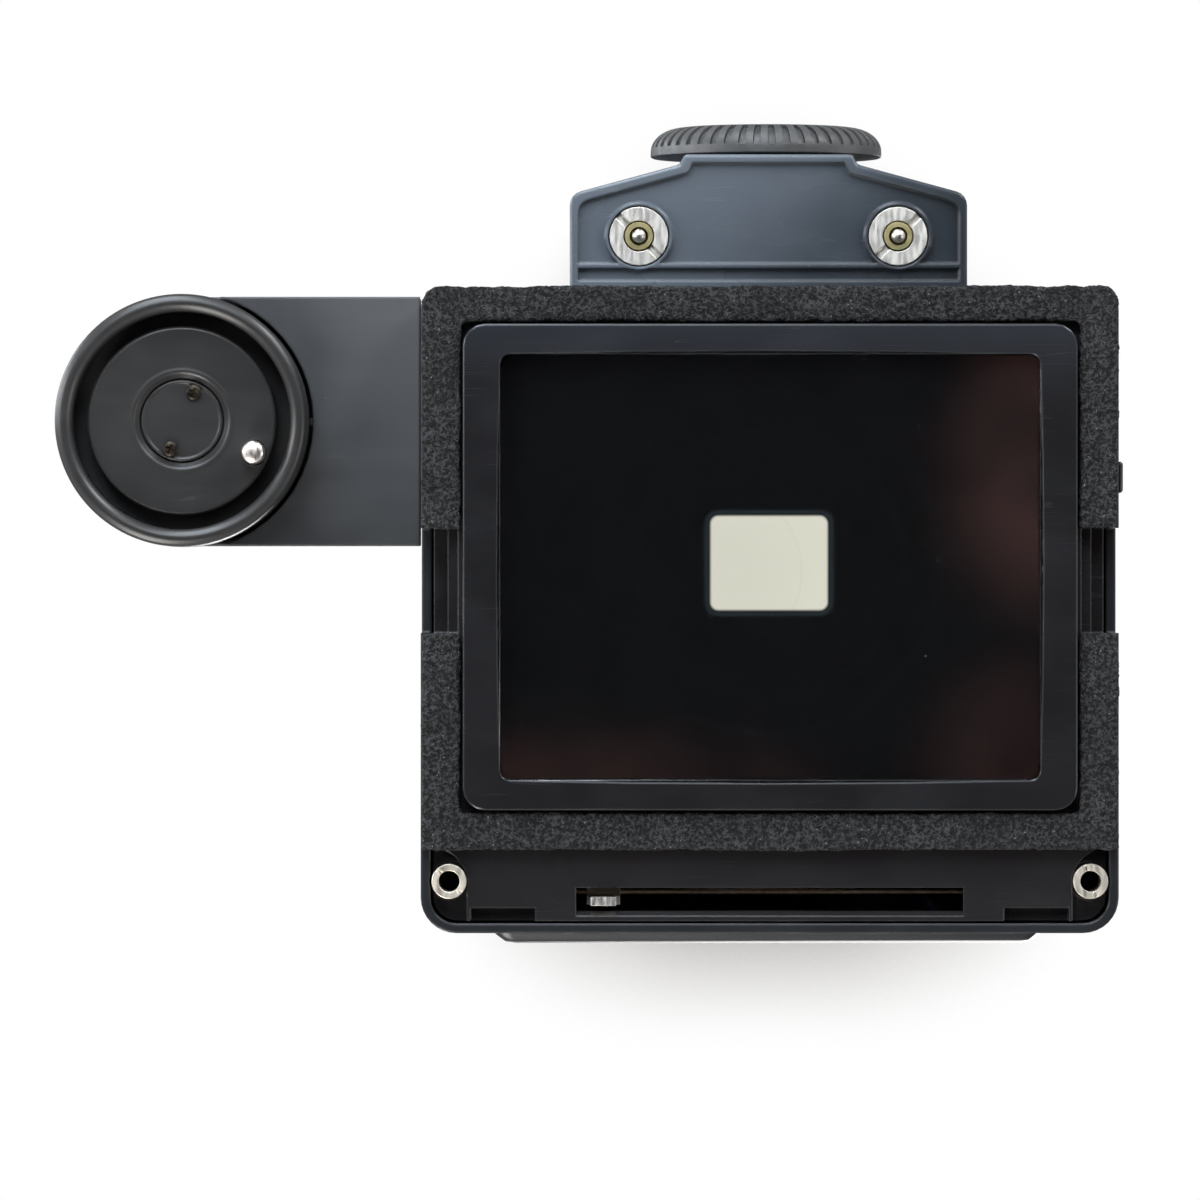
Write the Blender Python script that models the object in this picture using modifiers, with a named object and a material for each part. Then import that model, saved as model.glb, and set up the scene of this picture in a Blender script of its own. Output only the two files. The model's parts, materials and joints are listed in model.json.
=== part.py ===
"""Metered prism viewfinder for a medium-format single-lens reflex camera.

The finder stands upright in its own frame: +Z is up, -Y is the camera's lens side and +Y its
eyepiece side, and the shutter-dial arm reaches along +X. The origin is the middle of the entry
window's outer glass face. Sizes are in millimetres, and the builders below turn them to metres.
"""

from math import atan2, cos, hypot, pi, radians, sin, tan, tau

import bmesh
import bpy
from mathutils import Matrix, Vector

MM = 0.001
FIT = 0.3  # left between two pieces that touch
RUN = 0.15  # left round a piece that turns or slides
WELD = 1e-6  # metres within which points of one mesh are the same point
COIL_POINTS = 7  # points in one turn of a spring
SKIRT_STEPS = 8  # stretches of the arc at a corner of the skirt

# Entry window, its frame and the foam light seal
WINDOW_LENGTH = 67.0
WINDOW_DEPTH = 53.0
WINDOW_BOW = 0.4
WINDOW_CORNER = 1.2
GLASS_THICKNESS = 1.7
GLASS_LEDGE = 2.0
FRAME_SIDE = 4.2
FRAME_END = 3.35
FRAME_CORNER = 2.7
FRAME_DROP = 1.0
FRAME_EDGE = 0.5
SEAL_SIDE = 4.7
SEAL_REAR = 4.3
SEAL_FRONT = 4.55
SEAL_DROP = 0.2
SEAL_CORNER = 2.0

# Lower body: the cover's skirt and the base plate
WALL = 1.2
SIDE_RAIL = 5.2
REAR_RAIL = 4.35
FRONT_RAIL = 15.15
FLANGE = 2.0
PLATE = 3.0
SKIRT_TOP = 21.0
FRONT_CORNER = 4.4
REAR_CORNER = 2.5
SKIRT_EDGE = 0.8

# Camera latch notches in the two sides
LATCH_REAR = 4.8
LATCH_FRONT = -8.1
LATCH_TOP = 9.0
LATCH_DEPTH = 3.3
LATCH_SHELF_WIDTH = 1.3
LATCH_SHELF = 3.5
LATCH_LINING = 1.2

# Guide sleeves in the front corners
SLEEVE_INSET_X = 3.5
SLEEVE_INSET_Y = 6.4
SLEEVE_RADIUS = 2.15
SLEEVE_BORE = 1.3
SLEEVE_DROP = 1.0
SLEEVE_TOP = 7.4
SLEEVE_SLOT = 0.35
SLEEVE_SLOT_TURN = {-1: 71, 1: 45}  # degrees about Z
POCKET_INSET_X = 5.7
POCKET_LENGTH_Y = 10.6
POCKET_DEPTH = 1.5
POCKET_CORNER = 4.4

# Aperture follower in the front of the base plate
SLOT_INSET_X = 19.1
SLOT_REAR_INSET = 5.6
SLOT_FRONT_INSET = 2.7
ROD_INSET_Y = 5.0
ROD_RADIUS = 0.35
ROD_Z = 6.2
BRACKET_THICKNESS = 2.0
FOLLOWER_WIDTH = 3.1
FOLLOWER_END_GAP = 1.8
TAB_DEPTH = 1.1
TAB_DROP = 1.0
CORD_RADIUS = 0.25
CORD_Z = 9.2
PULLEY_RADIUS = 7.0
PULLEY_INSET_X = 10.4
PULLEY_THICKNESS = 2.0
POST_RADIUS = 1.2
NOTCH_NEAR = 6.1
NOTCH_FAR = 14.1
NOTCH_DEPTH = 1.6

# Upper hump of the cover
ROOF = 57.0
HUMP_INSET_X = 5.7
HUMP_OVERHANG = 1.8
HUMP_CORNER = 4.5
HUMP_BASE = 16.0
HUMP_EDGE = 1.4
RIDGE_X = 17.0
SHOULDER = 32.0
REAR_SLOPE_START = -6.0
FRONT_CHAMFER = 10.0
FRONT_CHAMFER_LENGTH = 8.7
REAR_CORNER_START = 12.0

# Prism
PRISM_MARGIN_X = 2.0
PRISM_MARGIN_FRONT = 2.5
PRISM_MARGIN_REAR = 4.5
PRISM_FROM_PULLEYS = 1.9
PRISM_HEADROOM = 6.0
PRISM_NOSE = 15.5
CRADLE_THICKNESS = 1.5

# Eyepiece and its housing
EYE_Z = 27.0
HOUSING_X = 24.6
HOUSING_BASE = 10.0
HOUSING_TOP = 42.0
HOUSING_WALL = 1.6
HOUSING_EDGE = 0.4
HOUSING_SIDE_LENGTH = 11.7
HOUSING_NOSE_MARGIN = 1.8
HOUSING_NOSE_LENGTH = 3.7
HOUSING_LIP_LENGTH = 1.25
HOUSING_FLOOR = 4.2
LEDGE_RECESS = 0.8
LEDGE_RIM = 1.0
BARREL_RADIUS = 9.2
BARREL_WALL = 1.2
RING_FLARE = 5.3
RING_TIP = 2.1
RING_LENGTH = 3.75

# Battery contacts in the ledge
CONTACT_X = 16.05
CONTACT_FROM_BODY = 6.8
NUT_RADIUS = 3.66
NUT_THICKNESS = 2.1
INSULATOR_RADIUS = 1.76
PIN_RADIUS = 0.85
PIN_DROP = 1.1
CONTACT_SPRING_TURNS = 4

# Shutter-dial arm and drum
ARM_REACH = 29.6
ARM_Y = 18.1
ARM_LOW = 12.0
ARM_TOP = 20.0
ARM_PLATE = 1.0
DISC_RADIUS = 11.7
DISC_LOW = 7.0
DISC_THICKNESS = 2.5
DRUM_GROOVE = 1.75
DRUM_WALL = 2.15
DRUM_LOW = 4.5
DRUM_CEILING = 11.0
HUB_RADIUS = 5.06
PIN_PLACE = (-8.9, -3.95)
COUPLING_PIN_RADIUS = 1.45
HUB_SCREW_PLACE = (-1.45, 3.5)
SHAFT_RADIUS = 3.0
DIAL_RADIUS = 13.4
DIAL_HEIGHT = 5.0
COLLAR_WALL = 1.8
FILM_DISC_RADIUS = 7.5

# Meter
METER_X = -17.5
METER_Z = 20.0
METER_RADIUS = 6.0
METER_LENGTH = 7.0
BOARD_THICKNESS = 1.2
BOARD_FROM_WALL = 1.6
BOARD_FRONT = -12.0
BOARD_LOW = 22.0
BOARD_CORNER_GAP = 0.5
CELL_X = 14.5
CELL_Z = 31.5
CELL_RADIUS = 3.2
SWITCH_Y = 11.15
SWITCH_Z = 14.0
SWITCH_TRAVEL = 4.0
SWITCH_PROUD = 0.75
SWITCH_BEVEL = 0.25
COVER_SCREW_Y = -18.0
COVER_SCREW_Z = 12.0

# Places worked out from the sizes above
WINDOW_X = WINDOW_LENGTH / 2
WINDOW_Y = WINDOW_DEPTH / 2
FRAME_X = WINDOW_X + FRAME_SIDE
FRAME_Y = WINDOW_Y + FRAME_END
BODY_X = FRAME_X + SIDE_RAIL
BODY_REAR = FRAME_Y + REAR_RAIL
BODY_FRONT = -FRAME_Y - FRONT_RAIL
PLATE_X = BODY_X - WALL - FIT
PLATE_REAR = BODY_REAR - WALL - FIT
PLATE_FRONT = BODY_FRONT + WALL + FIT
PLATE_TOP = FLANGE + PLATE
LATCH_X = BODY_X - LATCH_DEPTH
SLEEVE_X = BODY_X - SLEEVE_INSET_X
SLEEVE_Y = BODY_FRONT + SLEEVE_INSET_Y
SLOT_X = BODY_X - SLOT_INSET_X
SLOT_FRONT = BODY_FRONT + SLOT_FRONT_INSET
SLOT_REAR = BODY_FRONT + SLOT_REAR_INSET
ROD_Y = BODY_FRONT + ROD_INSET_Y
PULLEY_X = BODY_X - PULLEY_INSET_X
PULLEY_Y = ROD_Y + PULLEY_RADIUS
PULLEY_LOW = CORD_Z - PULLEY_THICKNESS / 2
PULLEY_TOP = CORD_Z + PULLEY_THICKNESS / 2
BRACKET_X = SLOT_X + 2.2
HUMP_X = BODY_X - HUMP_INSET_X
HUMP_FRONT = BODY_FRONT - HUMP_OVERHANG
HUMP_REAR = BODY_REAR - FIT
CRADLE_LOW = PLATE_TOP + FIT
PRISM_LOW = CRADLE_LOW + CRADLE_THICKNESS + FIT
PRISM_X = WINDOW_X - PRISM_MARGIN_X
PRISM_FRONT = max(PRISM_MARGIN_FRONT - WINDOW_Y, PULLEY_Y + PULLEY_RADIUS + PRISM_FROM_PULLEYS)
PRISM_REAR = WINDOW_Y - PRISM_MARGIN_REAR
HOUSING_FRONT = BODY_REAR + FIT
HOUSING_NOSE_X = BARREL_RADIUS + HOUSING_NOSE_MARGIN
HOUSING_SIDE_END = HOUSING_FRONT + HOUSING_SIDE_LENGTH
HOUSING_NOSE = HOUSING_SIDE_END + HOUSING_NOSE_LENGTH
HOUSING_REAR = HOUSING_NOSE + HOUSING_LIP_LENGTH
CAVITY_LOW = HOUSING_BASE + HOUSING_FLOOR
CONTACT_Y = BODY_REAR + CONTACT_FROM_BODY
BARREL_BORE = BARREL_RADIUS - BARREL_WALL
BARREL_FRONT = HOUSING_FRONT + 3.8
BARREL_REAR = HOUSING_REAR + 1.35
DRUM_X = BODY_X + ARM_REACH
DRUM_BORE = DISC_RADIUS + DRUM_GROOVE
DRUM_RADIUS = DRUM_BORE + DRUM_WALL
ARM_HALF = DRUM_RADIUS - RUN
DRUM_TOP = ARM_LOW + ARM_PLATE - FIT / 3
DIAL_LOW = ARM_TOP + 0.4
DIAL_TOP = DIAL_LOW + DIAL_HEIGHT
SHAFT_TOP = DIAL_TOP - 1.7
METER_FRONT = PRISM_REAR + 2.5


# --- Scene, finishes and placing ---


def clear_scene():
    for old in list(bpy.data.objects):
        bpy.data.objects.remove(old, do_unlink=True)


def new_collection(name):
    group = bpy.data.collections.new(name)
    bpy.context.scene.collection.children.link(group)
    return group


def finish(name, colour, roughness, metallic=0.0, transmission=0.0):
    """A Principled material with its colour as red, green and blue from 0 to 1."""
    material = bpy.data.materials.new(name)
    material.use_nodes = True
    shader = material.node_tree.nodes["Principled BSDF"]
    shader.inputs["Base Color"].default_value = (*colour, 1.0)
    shader.inputs["Roughness"].default_value = roughness
    shader.inputs["Metallic"].default_value = metallic
    shader.inputs["Transmission Weight"].default_value = transmission
    return material


def place(name, mesh, material=None, at=(0, 0, 0), turn=(0, 0, 0)):
    """Puts a mesh in the finder or, when it has no material, among the cutters."""
    part = bpy.data.objects.new(name, mesh)
    part.location = Vector(at) * MM
    part.rotation_euler = turn
    if material is None:
        part.hide_render = True
        part.display_type = "WIRE"
        CUTTERS.objects.link(part)
    else:
        mesh.materials.append(material)
        FINDER.objects.link(part)
    return part


def mesh_from(bm, name):
    """Turns a millimetre bmesh to a mesh in metres whose faces point outwards."""
    bmesh.ops.scale(bm, vec=(MM, MM, MM), verts=bm.verts)
    bmesh.ops.recalc_face_normals(bm, faces=bm.faces)
    mesh = bpy.data.meshes.new(name)
    bm.to_mesh(mesh)
    bm.free()
    mesh.shade_smooth()
    mesh.set_sharp_from_angle(angle=radians(32))
    return mesh


# --- Solids ---


def plane(start, end, along, inside):
    """The plane through two points and a direction, as a point and a normal away from inside."""
    normal = (Vector(end) - Vector(start)).cross(Vector(along)).normalized()
    if normal.dot(Vector(start) - Vector(inside)) < 0:
        normal.negate()
    return Vector(start), normal


def slice_off(bm, planes, inset=0.0):
    """Removes what lies outside each plane, moved inwards by the inset, and caps the cut."""
    for point, normal in planes:
        geometry = bm.verts[:] + bm.edges[:] + bm.faces[:]
        sliced = bmesh.ops.bisect_plane(
            bm, geom=geometry, plane_co=point - normal * inset, plane_no=normal, clear_outer=True
        )
        rim = [item for item in sliced["geom_cut"] if isinstance(item, bmesh.types.BMEdge)]
        if rim:
            bmesh.ops.contextual_create(bm, geom=rim)


def block(name, low, high, material=None, planes=(), inset=0.0):
    """A box between two corners, sliced by planes."""
    bm = bmesh.new()
    middle = (Vector(low) + Vector(high)) / 2
    size = Vector(high) - Vector(low)
    bmesh.ops.create_cube(bm, size=1.0, matrix=Matrix.LocRotScale(middle, None, size))
    slice_off(bm, planes, inset)
    return place(name, mesh_from(bm, name), material)


def turned_block(name, size, middle, degrees):
    """A box round its middle, turned about Z."""
    bm = bmesh.new()
    turn = Matrix.Rotation(radians(degrees), 4, "Z")
    shape = Matrix.Diagonal((*size, 1.0))
    bmesh.ops.create_cube(bm, size=1.0, matrix=Matrix.Translation(middle) @ turn @ shape)
    return place(name, mesh_from(bm, name))


def cylinder(name, radius, low, high, material=None, centre=(0, 0), along="Z", sides=20):
    """A round bar between two heights along an axis through the centre's two other coordinates."""
    bm = bmesh.new()
    bmesh.ops.create_cone(
        bm, cap_ends=True, segments=sides, radius1=radius, radius2=radius, depth=high - low
    )
    at, turn = axis_frame(along, centre, (low + high) / 2)
    return place(name, mesh_from(bm, name), material, at, turn)


def axis_frame(along, centre, height):
    """The place and turn that stand local +Z on an axis of the finder, at a height along it."""
    if along == "X":
        return (height, *centre), (0, pi / 2, 0)
    if along == "Y":
        return (centre[0], height, centre[1]), (-pi / 2, 0, 0)
    return (*centre, height), (0, 0, 0)


def turned(name, profile, material=None, centre=(0, 0), along="Z", sides=40):
    """A solid of revolution, from a (radius, height) profile that runs down its outer side.

    A profile that starts off the axis is a closed ring's section; others start and end on it.
    """
    bm = bmesh.new()
    points = [bm.verts.new((radius, 0, height)) for radius, height in profile]
    for first, second in zip(points, points[1:]):
        bm.edges.new((first, second))
    if profile[0][0] > 0:
        bm.edges.new((points[-1], points[0]))
    at, turn = axis_frame(along, centre, 0)
    part = place(name, mesh_from(bm, name), material, at, turn)
    screw = part.modifiers.new("Turn", "SCREW")
    screw.steps = sides
    screw.render_steps = sides
    screw.use_merge_vertices = True
    screw.merge_threshold = WELD
    return part


def ring(name, bore, radius, low, high, material=None, centre=(0, 0), along="Z", sides=24):
    section = [(bore, high), (radius, high), (radius, low), (bore, low)]
    return turned(name, section, material, centre, along, sides)


def arc(centre, radius, start, end, steps):
    """Points on an arc between two angles in radians."""
    angles = (start + (end - start) * step / steps for step in range(steps + 1))
    return [(centre[0] + radius * cos(angle), centre[1] + radius * sin(angle)) for angle in angles]


def rounded(corners, steps=4):
    """The outline through (x, y, radius) corners, with an arc at each corner that has a radius."""
    outline = []
    for index, (x, y, radius) in enumerate(corners):
        corner = Vector((x, y))
        if radius == 0:
            outline.append((x, y))
            continue
        back = (Vector(corners[index - 1][:2]) - corner).normalized()
        ahead = (Vector(corners[(index + 1) % len(corners)][:2]) - corner).normalized()
        half = back.angle(ahead) / 2
        centre = corner + (back + ahead).normalized() * radius / sin(half)
        first = corner + back * radius / tan(half) - centre
        last = corner + ahead * radius / tan(half) - centre
        start = atan2(first.y, first.x)
        sweep = (atan2(last.y, last.x) - start + pi) % tau - pi
        outline += arc(centre, radius, start, start + sweep, steps)
    return outline


def rectangle(x0, y0, x1, y1, radius=0.0, steps=4):
    return rounded([(x1, y1, radius), (x0, y1, radius), (x0, y0, radius), (x1, y0, radius)], steps)


def bowed(half_x, half_y, bow, radius):
    """A rectangle whose sides swell outwards by the bow at their middles."""
    corners = []
    steps = 4
    for side in range(4):
        across, along = (half_x, half_y) if side % 2 == 0 else (half_y, half_x)
        sign = 1 if side < 2 else -1
        corners.append(((half_x, -half_y), (half_x, half_y), (-half_x, half_y), (-half_x, -half_y))[side])
        for step in range(1, steps):
            share = 2 * step / steps - 1
            out = sign * (across + bow * (1 - share * share))
            slide = share * along * sign
            corners.append((out, slide) if side % 2 == 0 else (-slide, out))
    return rounded([(x, y, radius if index % steps == 0 else 0) for index, (x, y) in enumerate(corners)])


def slab(name, outlines, low, high, material=None, planes=(), inset=0.0):
    """A flat piece between two heights: one outline, then any holes in it."""
    curve = bpy.data.curves.new(name, "CURVE")
    curve.dimensions = "2D"
    curve.fill_mode = "BOTH"
    curve.extrude = (high - low) / 2
    for outline in outlines:
        spline = curve.splines.new("POLY")
        spline.points.add(len(outline) - 1)
        for point, (x, y) in zip(spline.points, outline):
            point.co = (x, y, 0, 1)
        spline.use_cyclic_u = True
    bm = solid_of_curve(curve)
    bmesh.ops.translate(bm, vec=(0, 0, (low + high) / 2), verts=bm.verts)
    slice_off(bm, planes, inset)
    return place(name, mesh_from(bm, name), material)


def solid_of_curve(curve):
    """A bmesh of the curve's solid, with its caps welded on. The curve is removed."""
    guide = bpy.data.objects.new(curve.name, curve)
    CUTTERS.objects.link(guide)
    bpy.context.view_layer.update()
    evaluated = guide.evaluated_get(bpy.context.evaluated_depsgraph_get())
    mesh = bpy.data.meshes.new_from_object(evaluated)
    bm = bmesh.new()
    bm.from_mesh(mesh)
    bmesh.ops.remove_doubles(bm, verts=bm.verts, dist=0.001)
    bpy.data.objects.remove(guide, do_unlink=True)
    bpy.data.meshes.remove(mesh)
    return bm


def wire(name, points, radius, material, closed=False, rounding=2):
    """A round wire along points, made from a bevelled curve."""
    curve = bpy.data.curves.new(name, "CURVE")
    curve.dimensions = "3D"
    curve.bevel_depth = radius
    curve.bevel_resolution = rounding
    curve.use_fill_caps = True
    spline = curve.splines.new("POLY")
    spline.points.add(len(points) - 1)
    for point, place_of in zip(spline.points, points):
        point.co = (*place_of, 1)
    spline.use_cyclic_u = closed
    return place(name, mesh_from(solid_of_curve(curve), name), material)


def coil(name, centre, radius, low, high, turns, wire_radius, material):
    """A round spring along Z between the outsides of its first and last turns."""
    steps = turns * COIL_POINTS
    rise = (high - low - 2 * wire_radius) / steps
    points = []
    for step in range(steps + 1):
        angle = step * tau / COIL_POINTS
        height = low + wire_radius + rise * step
        points.append((centre[0] + radius * cos(angle), centre[1] + radius * sin(angle), height))
    return wire(name, points, wire_radius, material, rounding=0)


def soften(part, width, segments=2):
    """Rounds a piece's sharp edges."""
    bevel = part.modifiers.new("Edges", "BEVEL")
    bevel.width = width * MM
    bevel.segments = segments
    bevel.limit_method = "ANGLE"
    bevel.angle_limit = radians(30)


def combine(part, operation, others):
    for other in others:
        boolean = part.modifiers.new(other.name, "BOOLEAN")
        boolean.operation = operation
        boolean.object = other


def cut(part, *cutters):
    combine(part, "DIFFERENCE", cutters)


def join(part, *others):
    combine(part, "UNION", others)


def body(name, axis_place, *parts):
    """Parents the pieces of one moving body to an empty on its joint's axis."""
    pivot = bpy.data.objects.new(name, None)
    pivot.location = Vector(axis_place) * MM
    pivot.empty_display_size = 0.01
    FINDER.objects.link(pivot)
    for part in parts:
        if part.parent is None:
            part.parent = pivot
            part.matrix_parent_inverse = Matrix.Translation(-pivot.location)
    return pivot


# --- Cover ---


def hump_planes():
    """The planes that shape the hump: roof sides, rear slope, front chamfer and upright corners."""
    inside = (0, 0, (HUMP_BASE + ROOF) / 2)
    ways = [
        plane((0, REAR_SLOPE_START, ROOF), (0, BODY_REAR, HOUSING_TOP), (1, 0, 0), inside),
        plane(
            (0, HUMP_FRONT, ROOF - FRONT_CHAMFER),
            (0, HUMP_FRONT + FRONT_CHAMFER_LENGTH, ROOF),
            (1, 0, 0),
            inside,
        ),
    ]
    for side in (-1, 1):
        ways.append(plane((side * HUMP_X, 0, SHOULDER), (side * RIDGE_X, 0, ROOF), (0, 1, 0), inside))
        corner = (side * HUMP_X, REAR_CORNER_START, 0)
        ways.append(plane(corner, (side * HOUSING_X, BODY_REAR, 0), (0, 0, 1), inside))
        corner = (side * HUMP_X, HUMP_FRONT + HUMP_CORNER, 0)
        ways.append(plane(corner, (side * (HUMP_X - HUMP_CORNER), HUMP_FRONT, 0), (0, 0, 1), inside))
    return ways


def corner_reach(x):
    """How far back the hollow of the hump goes at this distance from its middle."""
    run = (BODY_REAR - REAR_CORNER_START) / (HUMP_X - HOUSING_X)
    return REAR_CORNER_START + (HUMP_X - x) * run - WALL * hypot(1, run)


def skirt_outline(inset):
    front = BODY_FRONT + inset
    rear = BODY_REAR - inset
    half = BODY_X - inset
    return rounded(
        [
            (half, rear, REAR_CORNER - inset / 2),
            (-half, rear, REAR_CORNER - inset / 2),
            (-half, front, FRONT_CORNER - inset),
            (half, front, FRONT_CORNER - inset),
        ],
        SKIRT_STEPS,
    )


def top_cover():
    """The cast outer shell: a skirt with the prism's hump on it, open underneath."""
    cover = slab("top_cover", [skirt_outline(0)], FLANGE, SKIRT_TOP, PAINT)
    soften(cover, SKIRT_EDGE)
    hump = block(
        "hump", (-HUMP_X, HUMP_FRONT, HUMP_BASE), (HUMP_X, HUMP_REAR, ROOF), planes=hump_planes()
    )
    soften(hump, HUMP_EDGE)
    join(cover, hump)
    cut(
        cover,
        slab("skirt_inside", [skirt_outline(WALL)], 0, SKIRT_TOP - WALL),
        block(
            "hump_inside",
            (WALL - HUMP_X, HUMP_FRONT + WALL, HUMP_BASE + WALL),
            (HUMP_X - WALL, HUMP_REAR - WALL, ROOF - WALL),
            planes=hump_planes(),
            inset=WALL,
        ),
        block(
            "rear_window",
            (4.6 - HOUSING_X, BODY_REAR - 3 * WALL, CAVITY_LOW),
            (HOUSING_X - 4.6, BODY_REAR + WALL, HOUSING_TOP - 5),
        ),
        block("arm_window", (BODY_X - 2 * WALL, 8, 14), (BODY_X + WALL, 28, ARM_TOP - 1.5)),
        block(
            "switch_slot",
            (-BODY_X - WALL, SWITCH_Y - 1.35, SWITCH_Z - 1.2),
            (-BODY_X + 2 * WALL, SWITCH_Y + 1.25 + SWITCH_TRAVEL, SWITCH_Z + 1.2),
        ),
    )
    for side in (-1, 1):
        cut(cover, latch_opening(side), sleeve_relief(side), *cover_screw_holes(side))
    return cover


def latch_opening(side):
    near, far = sorted((side * (BODY_X - 2 * WALL), side * (BODY_X + WALL)))
    return block("latch_opening", (near, LATCH_FRONT, 0), (far, LATCH_REAR, LATCH_TOP))


def sleeve_relief(side):
    centre = (side * SLEEVE_X, SLEEVE_Y)
    return cylinder("sleeve_relief", SLEEVE_RADIUS + FIT, 0, SLEEVE_TOP + 2 * FIT, centre=centre)


def cover_screw_holes(side):
    """The counterbore and clearance hole through the cover's side wall."""
    centre = (COVER_SCREW_Y, COVER_SCREW_Z)
    bore = sorted((side * (BODY_X - 2 * WALL), side * (BODY_X + WALL)))
    sink = sorted((side * (BODY_X - 0.7), side * (BODY_X + WALL)))
    return (
        cylinder("screw_clearance", 0.95, *bore, centre=centre, along="X", sides=20),
        cylinder("screw_sink", 2.0, *sink, centre=centre, along="X", sides=28),
    )


def cover_screw(name, side):
    centre = (COVER_SCREW_Y, COVER_SCREW_Z)
    head = sorted((side * (BODY_X - 0.1), side * (BODY_X - 0.55)))
    shank = sorted((side * (BODY_X - 4.0), side * (BODY_X - 0.3)))
    screw = cylinder(name, 1.7, *head, STEEL, centre=centre, along="X", sides=28)
    join(screw, cylinder("shank", 0.7, *shank, centre=centre, along="X", sides=16))
    reach = sorted((side * (BODY_X - 0.35), side * (BODY_X + 1)))
    slot_low = (reach[0], centre[0] - 0.25, centre[1] - 2)
    cut(screw, block("driver_slot", slot_low, (reach[1], centre[0] + 0.25, centre[1] + 2)))
    return screw


# --- Base plate, window and seal ---


def base_plate():
    """The flange plate that closes the cover and holds the window, sleeves and follower."""
    outline = rounded(
        [
            (PLATE_X, PLATE_REAR, REAR_CORNER - WALL),
            (-PLATE_X, PLATE_REAR, REAR_CORNER - WALL),
            (-PLATE_X, PLATE_FRONT, FRONT_CORNER - WALL - FIT),
            (PLATE_X, PLATE_FRONT, FRONT_CORNER - WALL - FIT),
        ]
    )
    opening = rectangle(
        GLASS_LEDGE - WINDOW_X, GLASS_LEDGE - WINDOW_Y, WINDOW_X - GLASS_LEDGE, WINDOW_Y - GLASS_LEDGE
    )
    plate = slab("base_plate", [outline, opening], FLANGE, PLATE_TOP, FRAME_BLACK)
    for side in (-1, 1):
        join(plate, latch_lining(side), rod_bracket(side), screw_lug(side))
        cut(plate, *latch_pocket(side), *sleeve_seat(side), front_notch(side))
        cut(plate, rod_hole(side), lug_hole(side))
    cut(plate, follower_slot(), slot_chamfer())
    return plate


def latch_lining(side):
    """The walls round a latch pocket, inside the cover."""
    near, far = sorted((side * (LATCH_X - LATCH_LINING), side * PLATE_X))
    return block(
        "latch_lining",
        (near, LATCH_FRONT - LATCH_LINING, FLANGE + 1),
        (far, LATCH_REAR + LATCH_LINING, LATCH_TOP + LATCH_LINING),
    )


def latch_pocket(side):
    deep = sorted((side * LATCH_X, side * (BODY_X + WALL)))
    shelf = sorted((side * (LATCH_X - LATCH_SHELF_WIDTH), side * (LATCH_X + WALL)))
    return (
        block("latch_deep", (deep[0], LATCH_FRONT, 0), (deep[1], LATCH_REAR, LATCH_TOP)),
        block("latch_shelf", (shelf[0], LATCH_FRONT, 0), (shelf[1], LATCH_REAR, LATCH_SHELF)),
    )


def sleeve_seat(side):
    """The hole for a guide sleeve and the recess round it."""
    hole = cylinder(
        "sleeve_hole", SLEEVE_RADIUS + RUN, 0, SLEEVE_TOP, centre=(side * SLEEVE_X, SLEEVE_Y)
    )
    inner = side * (BODY_X - POCKET_INSET_X)
    outer = side * (BODY_X + WALL)
    rear = BODY_FRONT + POCKET_LENGTH_Y
    corners = [(inner, rear, POCKET_CORNER), (inner, BODY_FRONT - WALL, 0)]
    corners += [(outer, BODY_FRONT - WALL, 0), (outer, rear, 0)]
    recess = slab("sleeve_recess", [rounded(corners)], 0, FLANGE + POCKET_DEPTH)
    return hole, recess


def front_notch(side):
    near, far = sorted((side * (BODY_X - NOTCH_NEAR), side * (BODY_X - NOTCH_FAR)))
    top = FLANGE + NOTCH_DEPTH
    return block("front_notch", (near, BODY_FRONT, 0), (far, PLATE_FRONT + NOTCH_DEPTH, top))


def rod_bracket(side):
    near, far = sorted((side * BRACKET_X, side * (BRACKET_X + BRACKET_THICKNESS)))
    low = (near, ROD_Y - 1.6, PLATE_TOP - 1)
    return block("rod_bracket", low, (far, ROD_Y + 1.6, ROD_Z + 1.2))


def rod_hole(side):
    ends = sorted((side * (BRACKET_X - 1), side * (BRACKET_X + BRACKET_THICKNESS + 1)))
    return cylinder("rod_hole", ROD_RADIUS + RUN, *ends, centre=(ROD_Y, ROD_Z), along="X", sides=16)


def screw_lug(side):
    """The upright lug that a cover screw bites into."""
    near, far = sorted((side * (BODY_X - 4.2), side * PLATE_X))
    low = (near, COVER_SCREW_Y - 2, PLATE_TOP - 1)
    return block("screw_lug", low, (far, COVER_SCREW_Y + 2, COVER_SCREW_Z + 2))


def lug_hole(side):
    ends = sorted((side * (BODY_X - 5), side * (BODY_X + 1)))
    centre = (COVER_SCREW_Y, COVER_SCREW_Z)
    return cylinder("lug_hole", 0.7 + RUN, *ends, centre=centre, along="X", sides=16)


def follower_slot():
    return block("follower_slot", (-SLOT_X, SLOT_FRONT, 0), (SLOT_X, SLOT_REAR, PLATE_TOP + 0.2))


def slot_chamfer():
    """A sloping cut along the slot's front edge."""
    low = (-SLOT_X, SLOT_FRONT - 1, 0)
    high = (SLOT_X, SLOT_FRONT + 1, FLANGE + 0.6)
    start = (0, SLOT_FRONT - 0.6, FLANGE)
    slope = plane(start, (0, SLOT_FRONT, FLANGE + 0.6), (1, 0, 0), (0, SLOT_REAR, 0))
    return block("slot_chamfer", low, high, planes=[slope])


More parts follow.
